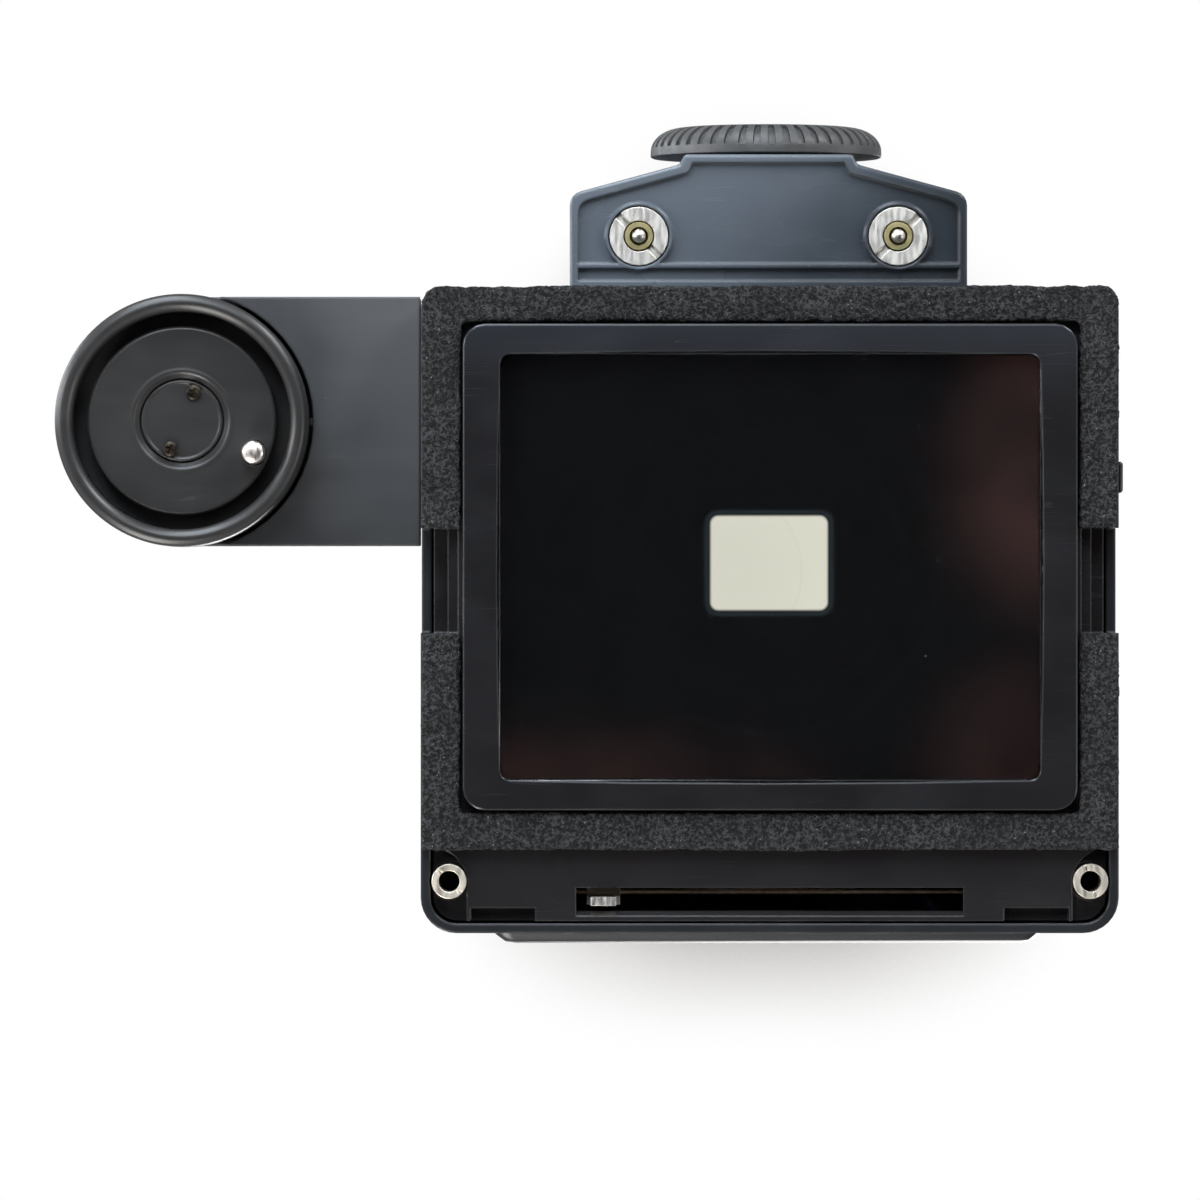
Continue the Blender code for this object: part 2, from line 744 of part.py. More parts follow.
def window_frame():
    """The raised black frame round the entry window."""
    outline = rectangle(-FRAME_X, -FRAME_Y, FRAME_X, FRAME_Y, FRAME_CORNER)
    blank = slab("window_frame", [outline], -FRAME_DROP, FLANGE - FIT, FRAME_BLACK)
    soften(blank, FRAME_EDGE)
    opening = bowed(WINDOW_X - WINDOW_BOW, WINDOW_Y - WINDOW_BOW, WINDOW_BOW, WINDOW_CORNER)
    cut(blank, slab("window_opening", [opening], -FRAME_DROP - 1, FLANGE + 1))
    return blank


def window_glass():
    half_x = WINDOW_X - WINDOW_BOW - FIT
    half_y = WINDOW_Y - WINDOW_BOW - FIT
    pane = bowed(half_x, half_y, WINDOW_BOW, WINDOW_CORNER - FIT)
    return slab("window_glass", [pane], 0, GLASS_THICKNESS, GLASS)


def foam_seals():
    """The two foam strips that lie on the flange round the window frame."""
    inner_x = FRAME_X + FIT
    outer_x = inner_x + SEAL_SIDE
    rear_in = FRAME_Y + FIT
    front_in = -FRAME_Y - FIT
    rear_out = rear_in + SEAL_REAR
    front_out = front_in - SEAL_FRONT
    rear = [(outer_x, LATCH_REAR, 0), (outer_x, rear_out, SEAL_CORNER), (-outer_x, rear_out, SEAL_CORNER)]
    rear += [(-outer_x, LATCH_REAR, 0), (-inner_x, LATCH_REAR, 0), (-inner_x, rear_in, 0)]
    rear += [(inner_x, rear_in, 0), (inner_x, LATCH_REAR, 0)]
    front = [(outer_x, LATCH_FRONT), (inner_x, LATCH_FRONT), (inner_x, front_in), (-inner_x, front_in)]
    front += [(-inner_x, LATCH_FRONT), (-outer_x, LATCH_FRONT)]
    front += [(-outer_x, front_out), (outer_x, front_out)]
    slab("foam_seal_rear", [rounded(rear)], -SEAL_DROP, FLANGE - FIT, FOAM)
    slab("foam_seal_front", [front], -SEAL_DROP, FLANGE - FIT, FOAM)


def guide_sleeve(name, side):
    """A screwed tube that locates the finder, with a fine driver slot across its end."""
    x = side * SLEEVE_X
    low = FLANGE - SLEEVE_DROP
    sleeve = ring(name, SLEEVE_BORE, SLEEVE_RADIUS, low, SLEEVE_TOP, NICKEL, (x, SLEEVE_Y))
    size = (4 * SLEEVE_RADIUS, SLEEVE_SLOT, 2 * SLEEVE_SLOT)
    cut(sleeve, turned_block("sleeve_slot", size, (x, SLEEVE_Y, low), SLEEVE_SLOT_TURN[side]))
    return sleeve


# --- Aperture follower ---


def follower():
    """The tab that the lens pushes, on its rod, with the cord and pulleys that it draws."""
    span = BRACKET_X + BRACKET_THICKNESS - FIT
    centre = (ROD_Y, ROD_Z)
    cylinder("guide_rod", ROD_RADIUS, -span, span, BRONZE, centre=centre, along="X", sides=16)
    slider = follower_slider()
    body("follower_pivot", (SLOT_X - FOLLOWER_END_GAP - FOLLOWER_WIDTH / 2, ROD_Y, ROD_Z), slider)
    follower_cord()
    pulleys()


def follower_slider():
    right = SLOT_X - FOLLOWER_END_GAP
    left = right - FOLLOWER_WIDTH
    middle = (left + right) / 2
    tab_y = ROD_Y - ROD_RADIUS - RUN
    block_low = (left - 0.5, tab_y - TAB_DEPTH, PLATE_TOP + 0.4)
    slider = block("follower_slider", block_low, (right + 0.5, ROD_Y + 1.4, ROD_Z + 1.4), STEEL)
    tab = block("tab", (left, tab_y - TAB_DEPTH, TAB_DROP), (right, tab_y, ROD_Z))
    clip_low = (middle - 1, ROD_Y - 0.9, ROD_Z + 1)
    clip = block("cord_clip", clip_low, (middle + 1, ROD_Y + 0.9, CORD_Z + 1))
    join(slider, tab, clip)
    span = FOLLOWER_WIDTH + 2
    for height, radius in ((ROD_Z, ROD_RADIUS + RUN), (CORD_Z, CORD_RADIUS + FIT)):
        ends = (middle - span, middle + span)
        cut(slider, cylinder("bore", radius, *ends, centre=(ROD_Y, height), along="X", sides=16))
    return slider


def follower_cord():
    """The closed loop of cord round both pulleys."""
    front_to_rear = arc((PULLEY_X, PULLEY_Y), PULLEY_RADIUS, -pi / 2, pi / 2, 10)
    rear_to_front = arc((-PULLEY_X, PULLEY_Y), PULLEY_RADIUS, pi / 2, 3 * pi / 2, 10)
    loop = [(x, y, CORD_Z) for x, y in front_to_rear + rear_to_front]
    wire("follower_cord", loop, CORD_RADIUS, CORD, closed=True, rounding=0)


def pulleys():
    """The drive pulley, which carries the wiper of the aperture resistor, and the idler."""
    rim = PULLEY_RADIUS + 0.4
    groove = PULLEY_RADIUS - CORD_RADIUS - RUN
    section = [
        (POST_RADIUS + RUN, PULLEY_TOP),
        (rim, PULLEY_TOP),
        (rim, PULLEY_TOP - 0.4),
        (groove, CORD_Z + 0.2),
        (groove, CORD_Z - 0.2),
        (rim, PULLEY_LOW + 0.4),
        (rim, PULLEY_LOW),
        (POST_RADIUS + RUN, PULLEY_LOW),
    ]
    post_top = PULLEY_TOP + 2.4
    for name, side in (("drive", 1), ("idler", -1)):
        centre = (side * PULLEY_X, PULLEY_Y)
        pulley = turned(name + "_pulley", section, BRASS, centre, sides=24)
        cylinder(name + "_pulley_post", POST_RADIUS, CRADLE_LOW, post_top, STEEL, centre=centre, sides=14)
        moving = [pulley, aperture_wiper(centre)] if side > 0 else [pulley]
        body(name + "_pulley_pivot", (*centre, CORD_Z), *moving)
    track = PULLEY_TOP + FIT + 1.3
    resistor_centre = (PULLEY_X, PULLEY_Y)
    ring("aperture_resistor", POST_RADIUS + RUN, 6.0, track, track + 0.8, BOARD, resistor_centre)
    spring_low = PULLEY_TOP + FIT
    coil("idler_spring", (-PULLEY_X, PULLEY_Y), 2.2, spring_low, spring_low + 1.8, 3, 0.2, STEEL)


def aperture_wiper(centre):
    """The wiper on the drive pulley, under the resistor track."""
    low = PULLEY_TOP + FIT
    wiper = ring("aperture_wiper", POST_RADIUS + RUN, 3.0, low, low + 0.7, BRASS, centre)
    arm_low = (PULLEY_X + 2, PULLEY_Y - 0.8, low + 0.1)
    join(wiper, block("wiper_arm", arm_low, (PULLEY_X + 5.5, PULLEY_Y + 0.8, low + 0.6)))
    return wiper


# --- Prism ---


def pentaprism():
    """The roof pentaprism: light enters underneath and leaves at the vertical rear face."""
    inside = (0, 0, PRISM_LOW + 5)
    lean = tan(radians(22.5))
    top = ROOF - PRISM_HEADROOM
    ridge = Vector((0, PRISM_REAR, PRISM_LOW + ROOF / 2 - 1.6))
    planes = [
        plane((0, PRISM_FRONT, PRISM_LOW), (0, PRISM_FRONT - lean, PRISM_LOW + 1), (1, 0, 0), inside)
    ]
    for side in (-1, 1):
        planes.append((ridge, Vector((side * 0.7071, 0.2706, 0.6533)).normalized()))
    low = (-PRISM_X, PRISM_FRONT - PRISM_NOSE, PRISM_LOW)
    return block("pentaprism", low, (PRISM_X, PRISM_REAR, top), GLASS, planes)


def prism_cradle():
    """The open frame that the prism stands on."""
    outer = rectangle(-PRISM_X - 3.5, PRISM_FRONT - 1.5, PRISM_X + 3.5, PRISM_REAR + 5, 1.0)
    inner = rectangle(1.5 - PRISM_X, PRISM_FRONT + 2, PRISM_X - 1.5, PRISM_REAR - 2)
    slab("prism_cradle", [outer, inner], CRADLE_LOW, CRADLE_LOW + CRADLE_THICKNESS, FRAME_BLACK)


# --- Eyepiece ---


def housing_outline(inset):
    half = HOUSING_X - inset
    nose = HOUSING_NOSE_X - inset
    return [
        (half, HOUSING_FRONT + inset, 0),
        (-half, HOUSING_FRONT + inset, 0),
        (-half, HOUSING_SIDE_END - inset, 1.8),
        (-nose, HOUSING_NOSE - inset, 0),
        (0.6 - nose, HOUSING_REAR - inset, 0),
        (nose - 0.6, HOUSING_REAR - inset, 0),
        (nose, HOUSING_NOSE - inset, 0),
        (half, HOUSING_SIDE_END - inset, 1.8),
    ]


def housing_planes():
    """The sloping top and the two top corners of the eyepiece housing."""
    inside = (0, HOUSING_FRONT, EYE_Z)
    end = (0, HOUSING_REAR, HOUSING_TOP - 1.2)
    ways = [plane((0, HOUSING_FRONT, HOUSING_TOP), end, (1, 0, 0), inside)]
    for side in (-1, 1):
        start = (side * HOUSING_X, 0, EYE_Z + 3)
        ways.append(plane(start, (side * (HOUSING_X - 9), 0, HOUSING_TOP), (0, 1, 0), inside))
    return ways


def eyepiece_housing():
    """The box behind the hump that carries the eyepiece and, in its ledge, the contacts."""
    housing = slab(
        "eyepiece_housing",
        [rounded(housing_outline(0))],
        HOUSING_BASE,
        HOUSING_TOP + 2,
        PAINT,
        housing_planes(),
    )
    soften(housing, HOUSING_EDGE)
    back = HOUSING_REAR - HOUSING_WALL
    shoulder = HOUSING_SIDE_END - HOUSING_WALL
    half = HOUSING_X - HOUSING_WALL
    outline = [
        (half, HOUSING_FRONT - 2),
        (-half, HOUSING_FRONT - 2),
        (-half, shoulder),
        (-HOUSING_NOSE_X + 1, back - 1),
        (HOUSING_NOSE_X - 1, back - 1),
        (half, shoulder),
    ]
    planes = housing_planes()
    room = slab("housing_inside", [outline], CAVITY_LOW, HOUSING_TOP + 2, None, planes, HOUSING_WALL)
    cut(
        housing,
        room,
        ledge_recess(),
        cylinder(
            "barrel_hole",
            BARREL_RADIUS + FIT,
            HOUSING_FRONT,
            HOUSING_REAR + 2,
            centre=(0, EYE_Z),
            along="Y",
            sides=40,
        ),
    )
    for side in (-1, 1):
        centre = (side * CONTACT_X, CONTACT_Y)
        seat_top = HOUSING_BASE + NUT_THICKNESS + 0.4
        cut(
            housing,
            cylinder("nut_seat", NUT_RADIUS + RUN, HOUSING_BASE - 1, seat_top, centre=centre, sides=28),
            cylinder("pin_hole", INSULATOR_RADIUS + RUN, HOUSING_BASE, CAVITY_LOW + 1, centre=centre),
        )
    return housing


def ledge_recess():
    """The shallow recess under the ledge, which leaves a cross ridge and a rim at each contact."""
    recess = slab("ledge_recess", [rounded(housing_outline(LEDGE_RIM))], 0, HOUSING_BASE + LEDGE_RECESS)
    ridge_y = CONTACT_Y - NUT_RADIUS
    ridge_low = (-HOUSING_X, ridge_y - 0.3, -1)
    cut(recess, block("ledge_ridge", ridge_low, (HOUSING_X, ridge_y + 0.3, HOUSING_BASE + 2)))
    for side in (-1, 1):
        centre = (side * CONTACT_X, CONTACT_Y)
        cut(recess, cylinder("contact_rim", NUT_RADIUS + 0.55, -1, HOUSING_BASE + 2, centre=centre))
    return recess


def contact(hand, side):
    """One battery contact: a slotted nut, an insulator, a sprung pin and its spring."""
    centre = (side * CONTACT_X, CONTACT_Y)
    nut_low = HOUSING_BASE + 0.1
    nut_top = nut_low + NUT_THICKNESS
    nut_bore = INSULATOR_RADIUS + RUN
    nut = ring("contact_nut_" + hand, nut_bore, NUT_RADIUS, nut_low, nut_top, NICKEL, centre)
    cut(nut, nut_slot(side, centre, nut_low))
    low = nut_low - 0.2
    neck = CAVITY_LOW + FIT
    chamber = neck + 5.6
    bore = PIN_RADIUS + 2 * RUN
    body_section = [
        (0, chamber + 0.9),
        (2.6, chamber + 0.9),
        (2.6, neck),
        (INSULATOR_RADIUS, neck),
        (INSULATOR_RADIUS, low),
        (bore, low),
        (bore, neck),
        (1.7, neck),
        (1.7, chamber),
        (0, chamber),
    ]
    turned("contact_insulator_" + hand, body_section, AMBER, centre, sides=16)
    tip = HOUSING_BASE - PIN_DROP
    flange = neck + FIT
    pin_section = [(0, flange + 0.6), (1.4, flange + 0.6), (1.4, flange), (PIN_RADIUS, flange)]
    pin_section += [(PIN_RADIUS, tip + 0.6), (0.7, tip + 0.25), (0.4, tip + 0.06), (0, tip)]
    pin = turned("contact_pin_" + hand, pin_section, NICKEL, centre, sides=20)
    ends = (flange + 0.6 + FIT, chamber - FIT)
    coil("contact_spring_" + hand, centre, 1.1, *ends, CONTACT_SPRING_TURNS, 0.18, STEEL)
    body("contact_pivot_" + hand, (*centre, tip), pin)


def nut_slot(side, centre, low):
    """The driver slot across a contact nut, on a slant."""
    return turned_block("nut_slot", (4 * NUT_RADIUS, 0.8, 1.4), (*centre, low), side * 45)


def lens(name, front, rear, bulge_front, bulge_rear):
    """A round lens along Y between its two edge planes, with a bulge on each face."""
    radius = BARREL_BORE - RUN - 0.05
    steps = 2
    shares = [step / steps for step in range(steps + 1)]
    rear_face = [(radius * share, rear + bulge_rear * (1 - share * share)) for share in shares]
    shares.reverse()
    front_face = [(radius * share, front - bulge_front * (1 - share * share)) for share in shares]
    return turned(name, rear_face + front_face, LENS, (0, EYE_Z), "Y", 28)


def eyepiece():
    """The barrel with its lenses and mask, and the ribbed ring screwed on it."""
    axis = (0, EYE_Z)
    housing_back = HOUSING_REAR + FIT
    ends = (BARREL_FRONT, BARREL_REAR)
    ring("eyepiece_barrel", BARREL_BORE, BARREL_RADIUS, *ends, FRAME_BLACK, axis, "Y", 36)
    lens("eyepiece_lens_front", BARREL_FRONT + 2.4, BARREL_FRONT + 5.0, 0.8, 0.9)
    lens("eyepiece_lens_rear", BARREL_REAR - 5.4, BARREL_REAR - 3.4, -0.6, 1.1)
    mask_y = BARREL_FRONT - FIT
    mask = block("eyepiece_mask", (-12, mask_y - 1, EYE_Z - 11), (12, mask_y, EYE_Z + 11), FRAME_BLACK)
    cut(mask, block("mask_opening", (-8.5, mask_y - 2, EYE_Z - 6.8), (8.5, mask_y + 1, EYE_Z + 6.8)))
    thread = BARREL_RADIUS + FIT
    step = BARREL_REAR + 1
    end = housing_back + RING_LENGTH
    section = [
        (BARREL_BORE - 0.3, end - 0.6),
        (BARREL_RADIUS + RING_TIP - 1.0, end),
        (BARREL_RADIUS + RING_TIP, end),
        (BARREL_RADIUS + RING_FLARE, housing_back + 0.5),
        (BARREL_RADIUS + RING_FLARE, housing_back),
        (thread, housing_back),
        (thread, step),
        (BARREL_BORE - 0.3, step),
    ]
    eye_ring = turned("eyepiece_ring", section, RING_BLACK, axis, "Y", 44)
    body("eyepiece_ring_pivot", (0, housing_back, EYE_Z), eye_ring)


# --- Shutter-dial arm ---


def arm_outline(inset, start):
    half = ARM_HALF - inset
    end = DRUM_X + half
    corners = [(end, ARM_Y + half, half), (start, ARM_Y + half, 0), (start, ARM_Y - half, 0)]
    return rounded(corners + [(end, ARM_Y - half, half)], steps=10)


def arm():
    """The hollow arm over the shutter-dial drum, and its bottom plate."""
    start = BODY_X + FIT
    low = ARM_LOW + ARM_PLATE + FIT
    housing = slab("arm_housing", [arm_outline(0, start)], low, ARM_TOP, PAINT)
    soften(housing, 0.8)
    centre = (DRUM_X, ARM_Y)
    cut(
        housing,
        slab("arm_inside", [arm_outline(WALL, start - 1)], low - 1, ARM_TOP - WALL),
        cylinder("bush_hole", SHAFT_RADIUS + 1.3, low, ARM_TOP + 1, centre=centre),
    )
    plate = slab("arm_bottom_plate", [arm_outline(0, start)], ARM_LOW, ARM_LOW + ARM_PLATE, FRAME_BLACK)
    cut(plate, cylinder("drum_opening", DRUM_RADIUS + 0.5, 0, ARM_TOP, centre=centre, sides=44))
    ring(
        "shaft_bush",
        SHAFT_RADIUS + RUN,
        SHAFT_RADIUS + 1.0,
        ARM_TOP - 3,
        ARM_TOP + RUN,
        BRASS,
        centre,
    )


def drum_skirt():
    """The fixed cup round the coupling disc."""
    lip = 0.9
    section = [
        (SHAFT_RADIUS + RUN, DRUM_TOP),
        (DRUM_RADIUS, DRUM_TOP),
        (DRUM_RADIUS, DRUM_LOW + lip),
        (DRUM_RADIUS - 0.3 * lip, DRUM_LOW + 0.3 * lip),
        (DRUM_RADIUS - lip, DRUM_LOW),
        (DRUM_BORE + 0.5, DRUM_LOW),
        (DRUM_BORE, DRUM_LOW + 0.5),
        (DRUM_BORE, DRUM_CEILING),
        (SHAFT_RADIUS + RUN, DRUM_CEILING),
    ]
    return turned("drum_skirt", section, FRAME_BLACK, (DRUM_X, ARM_Y), sides=44)


def dial_body():
    """Everything that turns with the shutter-speed dial."""
    centre = (DRUM_X, ARM_Y)
    disc_top = DISC_LOW + DISC_THICKNESS
    shaft = cylinder("dial_shaft", SHAFT_RADIUS, disc_top + FIT, SHAFT_TOP, STEEL, centre=centre)
    recess_floor = DISC_LOW + 1.3
    disc_section = [
        (0, disc_top),
        (DISC_RADIUS, disc_top),
        (DISC_RADIUS, DISC_LOW + 0.4),
        (DISC_RADIUS - 0.4, DISC_LOW),
        (HUB_RADIUS + 0.75, DISC_LOW),
        (HUB_RADIUS + RUN, DISC_LOW + 0.6),
        (HUB_RADIUS + RUN, recess_floor),
        (0, recess_floor),
    ]
    disc = turned("coupling_disc", disc_section, FRAME_BLACK, centre, sides=36)
    pin_x, pin_y = (middle + offset for middle, offset in zip(centre, PIN_PLACE))
    pin_bore = COUPLING_PIN_RADIUS + RUN
    cut(disc, cylinder("pin_bore", pin_bore, 0, disc_top + 1, centre=(pin_x, pin_y), sides=24))
    hub = cylinder("hub_plate", HUB_RADIUS, DISC_LOW + 0.6, DISC_LOW + 1.0, FRAME_BLACK, centre=centre)
    screws = []
    for number, sign in ((1, 1), (2, -1)):
        x = DRUM_X + sign * HUB_SCREW_PLACE[0]
        y = ARM_Y + sign * HUB_SCREW_PLACE[1]
        bore = cylinder("hub_screw_bore", 0.7, 0, disc_top - 0.4, centre=(x, y), sides=16)
        cut(hub, bore)
        cut(disc, bore)
        screws.append(hub_screw(f"hub_screw_{number}", x, y))
    parts = [shaft, disc, hub, *screws, speed_dial(), speed_wiper()]
    body("dial_pivot", (*centre, DISC_LOW), *parts)
    coupling_pin(pin_x, pin_y, disc_top)


def hub_screw(name, x, y):
    """A small cross-head screw."""
    head_low = DISC_LOW
    section = [(0, DISC_LOW + 1.8), (0.5, DISC_LOW + 1.8), (0.5, head_low + 0.4), (0.95, head_low + 0.4)]
    section += [(0.95, head_low + 0.15), (0.6, head_low), (0, head_low)]
    screw = turned(name, section, STEEL, (x, y), sides=20)
    for reach_x, reach_y in ((0.55, 0.12), (0.12, 0.55)):
        low = (x - reach_x, y - reach_y, head_low - 1)
        cut(screw, block("cross_slot", low, (x + reach_x, y + reach_y, head_low + 0.22)))
    return screw


def coupling_pin(x, y, disc_top):
    """The sprung pin that meets the camera's shutter dial, and its leaf spring."""
    tip = DRUM_LOW - 0.9
    top = disc_top + 0.2
    section = [(0, top), (COUPLING_PIN_RADIUS, top), (COUPLING_PIN_RADIUS, tip + 0.4)]
    section += [(COUPLING_PIN_RADIUS - 0.4, tip), (0, tip)]
    pin = turned("coupling_pin", section, NICKEL, (x, y), sides=24)
    body("coupling_pin_pivot", (x, y, tip), pin)
    low = (x - 1.2, y - 1.2, disc_top + 0.5)
    block("pin_leaf_spring", low, (DRUM_X - SHAFT_RADIUS - RUN, y + 1.2, disc_top + 0.75), STEEL)


def speed_dial():
    """The dial on top of the arm, hollow underneath for the shaft."""
    bore = SHAFT_RADIUS + RUN
    section = [
        (0, DIAL_TOP),
        (DIAL_RADIUS - 0.4, DIAL_TOP),
        (DIAL_RADIUS, DIAL_TOP - 0.4),
        (DIAL_RADIUS, DIAL_LOW),
        (bore, DIAL_LOW),
        (bore, SHAFT_TOP + FIT),
        (0, SHAFT_TOP + FIT),
    ]
    return turned("speed_dial", section, PAINT, (DRUM_X, ARM_Y), sides=36)


def speed_wiper():
    """The wiper on the shaft, over the resistor track."""
    low = ARM_LOW + ARM_PLATE + 1.5
    wiper = ring("speed_wiper", SHAFT_RADIUS + RUN, 4.6, low, low + 0.7, BRASS, (DRUM_X, ARM_Y))
    arm_low = (DRUM_X - 11, ARM_Y - 0.9, low + 0.1)
    join(wiper, block("speed_wiper_arm", arm_low, (DRUM_X - 4, ARM_Y + 0.9, low + 0.6)))
    return wiper


def dial_rings():
    """The lifting collar round the dial, the film-speed disc on it and the resistor below."""
    centre = (DRUM_X, ARM_Y)
    bore = DIAL_RADIUS + FIT
    rim = bore + COLLAR_WALL
    low = ARM_TOP + 2 * FIT
    top = DIAL_TOP + 0.8
    section = [(bore, top), (rim - 0.5, top), (rim, top - 0.5), (rim, low), (bore, low)]
    collar = turned("dial_collar", section, RING_BLACK, centre, sides=40)
    body("dial_collar_pivot", (*centre, low), collar)
    disc_low = DIAL_TOP + FIT
    disc_section = [(0, disc_low + 1), (FILM_DISC_RADIUS - 0.3, disc_low + 1)]
    disc_section += [(FILM_DISC_RADIUS, disc_low + 0.7), (FILM_DISC_RADIUS, disc_low), (0, disc_low)]
    disc = turned("film_speed_disc", disc_section, NICKEL, centre, sides=28)
    body("film_speed_pivot", (*centre, disc_low), disc)
    track = ARM_LOW + ARM_PLATE + 0.2
    ring("speed_resistor", 5.5, ARM_HALF - WALL - 1, track, track + 0.9, BOARD, centre)


# --- Meter ---


def meter():
    """The galvanometer, its needle in the eyepiece view, the light cells and the board."""
    centre = (METER_X, METER_Z)
    rear = METER_FRONT + METER_LENGTH
    cylinder("meter_movement", METER_RADIUS, METER_FRONT, rear, STEEL, centre=centre, along="Y")
    needle_y = METER_FRONT - 1.1
    low = (METER_X, needle_y, METER_Z - 0.2)
    needle = block("meter_needle", low, (METER_X + 13, needle_y + 0.3, METER_Z + 0.2), RED)
    hub_ends = (needle_y - 0.1, METER_FRONT - FIT)
    join(needle, cylinder("needle_hub", 1.0, *hub_ends, centre=centre, along="Y", sides=20))
    body("meter_needle_pivot", (METER_X, needle_y, METER_Z), needle)
    for hand, side in (("left", -1), ("right", 1)):
        front = PRISM_REAR + 2
        axis = (side * CELL_X, CELL_Z)
        section = [(0, front + 2.5), (CELL_RADIUS, front + 2.5), (CELL_RADIUS, front + 0.4)]
        section += [(CELL_RADIUS - 0.4, front), (0, front)]
        turned("light_cell_" + hand, section, AMBER, axis, "Y", 28)
    board_x = HUMP_X - WALL - BOARD_FROM_WALL
    rear = corner_reach(board_x) - BOARD_CORNER_GAP
    low = (board_x - BOARD_THICKNESS, BOARD_FRONT, BOARD_LOW)
    block("circuit_board", low, (board_x, rear, SHOULDER - 1), BOARD)
    lead_wire(board_x - BOARD_THICKNESS / 2)


def lead_wire(board_x):
    """The insulated wire from the resistor in the arm to the board."""
    low = ARM_LOW + ARM_PLATE
    bends = [
        (DRUM_X - ARM_HALF + 0.9, ARM_Y, low + 1.6),
        (BODY_X + 6, ARM_Y - 0.3, low + 2.8),
        (BODY_X, ARM_Y - 1.6, low + 3.2),
        (BODY_X - 4, ARM_Y - 6, low + 3.8),
        (BODY_X - 7, ARM_Y - 10, low + 5.2),
        (board_x - 0.2, ARM_Y - 13, 20),
        (board_x, ARM_Y - 14, 22 - 2 * FIT),
    ]
    wire("lead_wire", smooth_route(bends, 4), 0.5, CORD, rounding=1)


def smooth_route(points, steps):
    """A Catmull-Rom curve through the points."""
    vectors = [Vector(point) for point in points]
    ends = [vectors[0] * 2 - vectors[1], *vectors, vectors[-1] * 2 - vectors[-2]]
    route = []
    for before, start, end, after in zip(ends, ends[1:], ends[2:], ends[3:]):
        for step in range(steps):
            share = step / steps
            bend = (end - before) * share
            bend += (before * 2 - start * 5 + end * 4 - after) * share**2
            bend += (start * 3 - before - end * 3 + after) * share**3
            route.append(start + bend / 2)
    return [*route, vectors[-1]]


def meter_switch():
    """The sliding knob on the side wall, with its shaft and inner plate."""
    wall = -BODY_X
    low = (wall - FIT - SWITCH_PROUD, SWITCH_Y - 1.95, SWITCH_Z - 3)
    knob = block("meter_switch", low, (wall - FIT, SWITCH_Y + 1.95, SWITCH_Z + 3), RING_BLACK)
    soften(knob, SWITCH_BEVEL, 1)
    shaft_low = (wall - FIT - SWITCH_PROUD / 2, SWITCH_Y - 0.95, SWITCH_Z - 0.9)
    shaft = block("switch_shaft", shaft_low, (wall + 2, SWITCH_Y + 0.95, SWITCH_Z + 0.9))
    plate_low = (wall + WALL + FIT, SWITCH_Y - 1.6, SWITCH_Z - 2)
    inner = block("switch_plate", plate_low, (wall + WALL + 1.3, SWITCH_Y + 1.6, SWITCH_Z + 2))
    join(knob, shaft, inner)
    body("meter_switch_pivot", (wall, SWITCH_Y, SWITCH_Z), knob)


clear_scene()
FINDER = new_collection("prism_finder")
CUTTERS = new_collection("cutters")

PAINT = finish("black_enamel", (0.020, 0.023, 0.028), 0.34, 0.2)
FRAME_BLACK = finish("satin_black", (0.012, 0.012, 0.014), 0.42)
RING_BLACK = finish("moulded_black", (0.020, 0.020, 0.020), 0.5)
FOAM = finish("seal_foam", (0.018, 0.018, 0.018), 0.95)
GLASS = finish("optical_glass", (0.02, 0.02, 0.02), 0.04, transmission=0.5)
LENS = finish("coated_lens", (0.10, 0.12, 0.16), 0.02, transmission=0.9)
NICKEL = finish("nickel", (0.72, 0.70, 0.66), 0.28, 1.0)
STEEL = finish("steel", (0.42, 0.41, 0.40), 0.35, 1.0)
BRONZE = finish("bronze", (0.42, 0.27, 0.15), 0.35, 1.0)
BRASS = finish("brass", (0.62, 0.47, 0.22), 0.35, 1.0)
AMBER = finish("amber_resin", (0.55, 0.42, 0.12), 0.4)
BOARD = finish("circuit_board", (0.10, 0.20, 0.10), 0.5)
CORD = finish("cord", (0.10, 0.09, 0.08), 0.8)
RED = finish("red_needle", (0.50, 0.05, 0.03), 0.5)

top_cover()
base_plate()
window_frame()
window_glass()
foam_seals()
guide_sleeve("guide_sleeve_left", -1)
guide_sleeve("guide_sleeve_right", 1)
follower()
pentaprism()
prism_cradle()
eyepiece_housing()
contact("left", -1)
contact("right", 1)
eyepiece()
arm()
drum_skirt()
dial_body()
dial_rings()
meter()
meter_switch()
cover_screw("cover_screw_left", -1)
cover_screw("cover_screw_right", 1)
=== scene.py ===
"""Finish, fine shapes, light and camera for a metered prism viewfinder.

The finder is loaded as a fixed frame. Each part that shows is dressed where it
stands, or made again in finer form on the body that carries it.
"""

from __future__ import annotations

import json
import logging
import math
from collections.abc import Callable, Iterator, Sequence
from contextlib import contextmanager
from dataclasses import dataclass, field
from enum import Enum

import bmesh
import bpy
from mathutils import Matrix, Vector

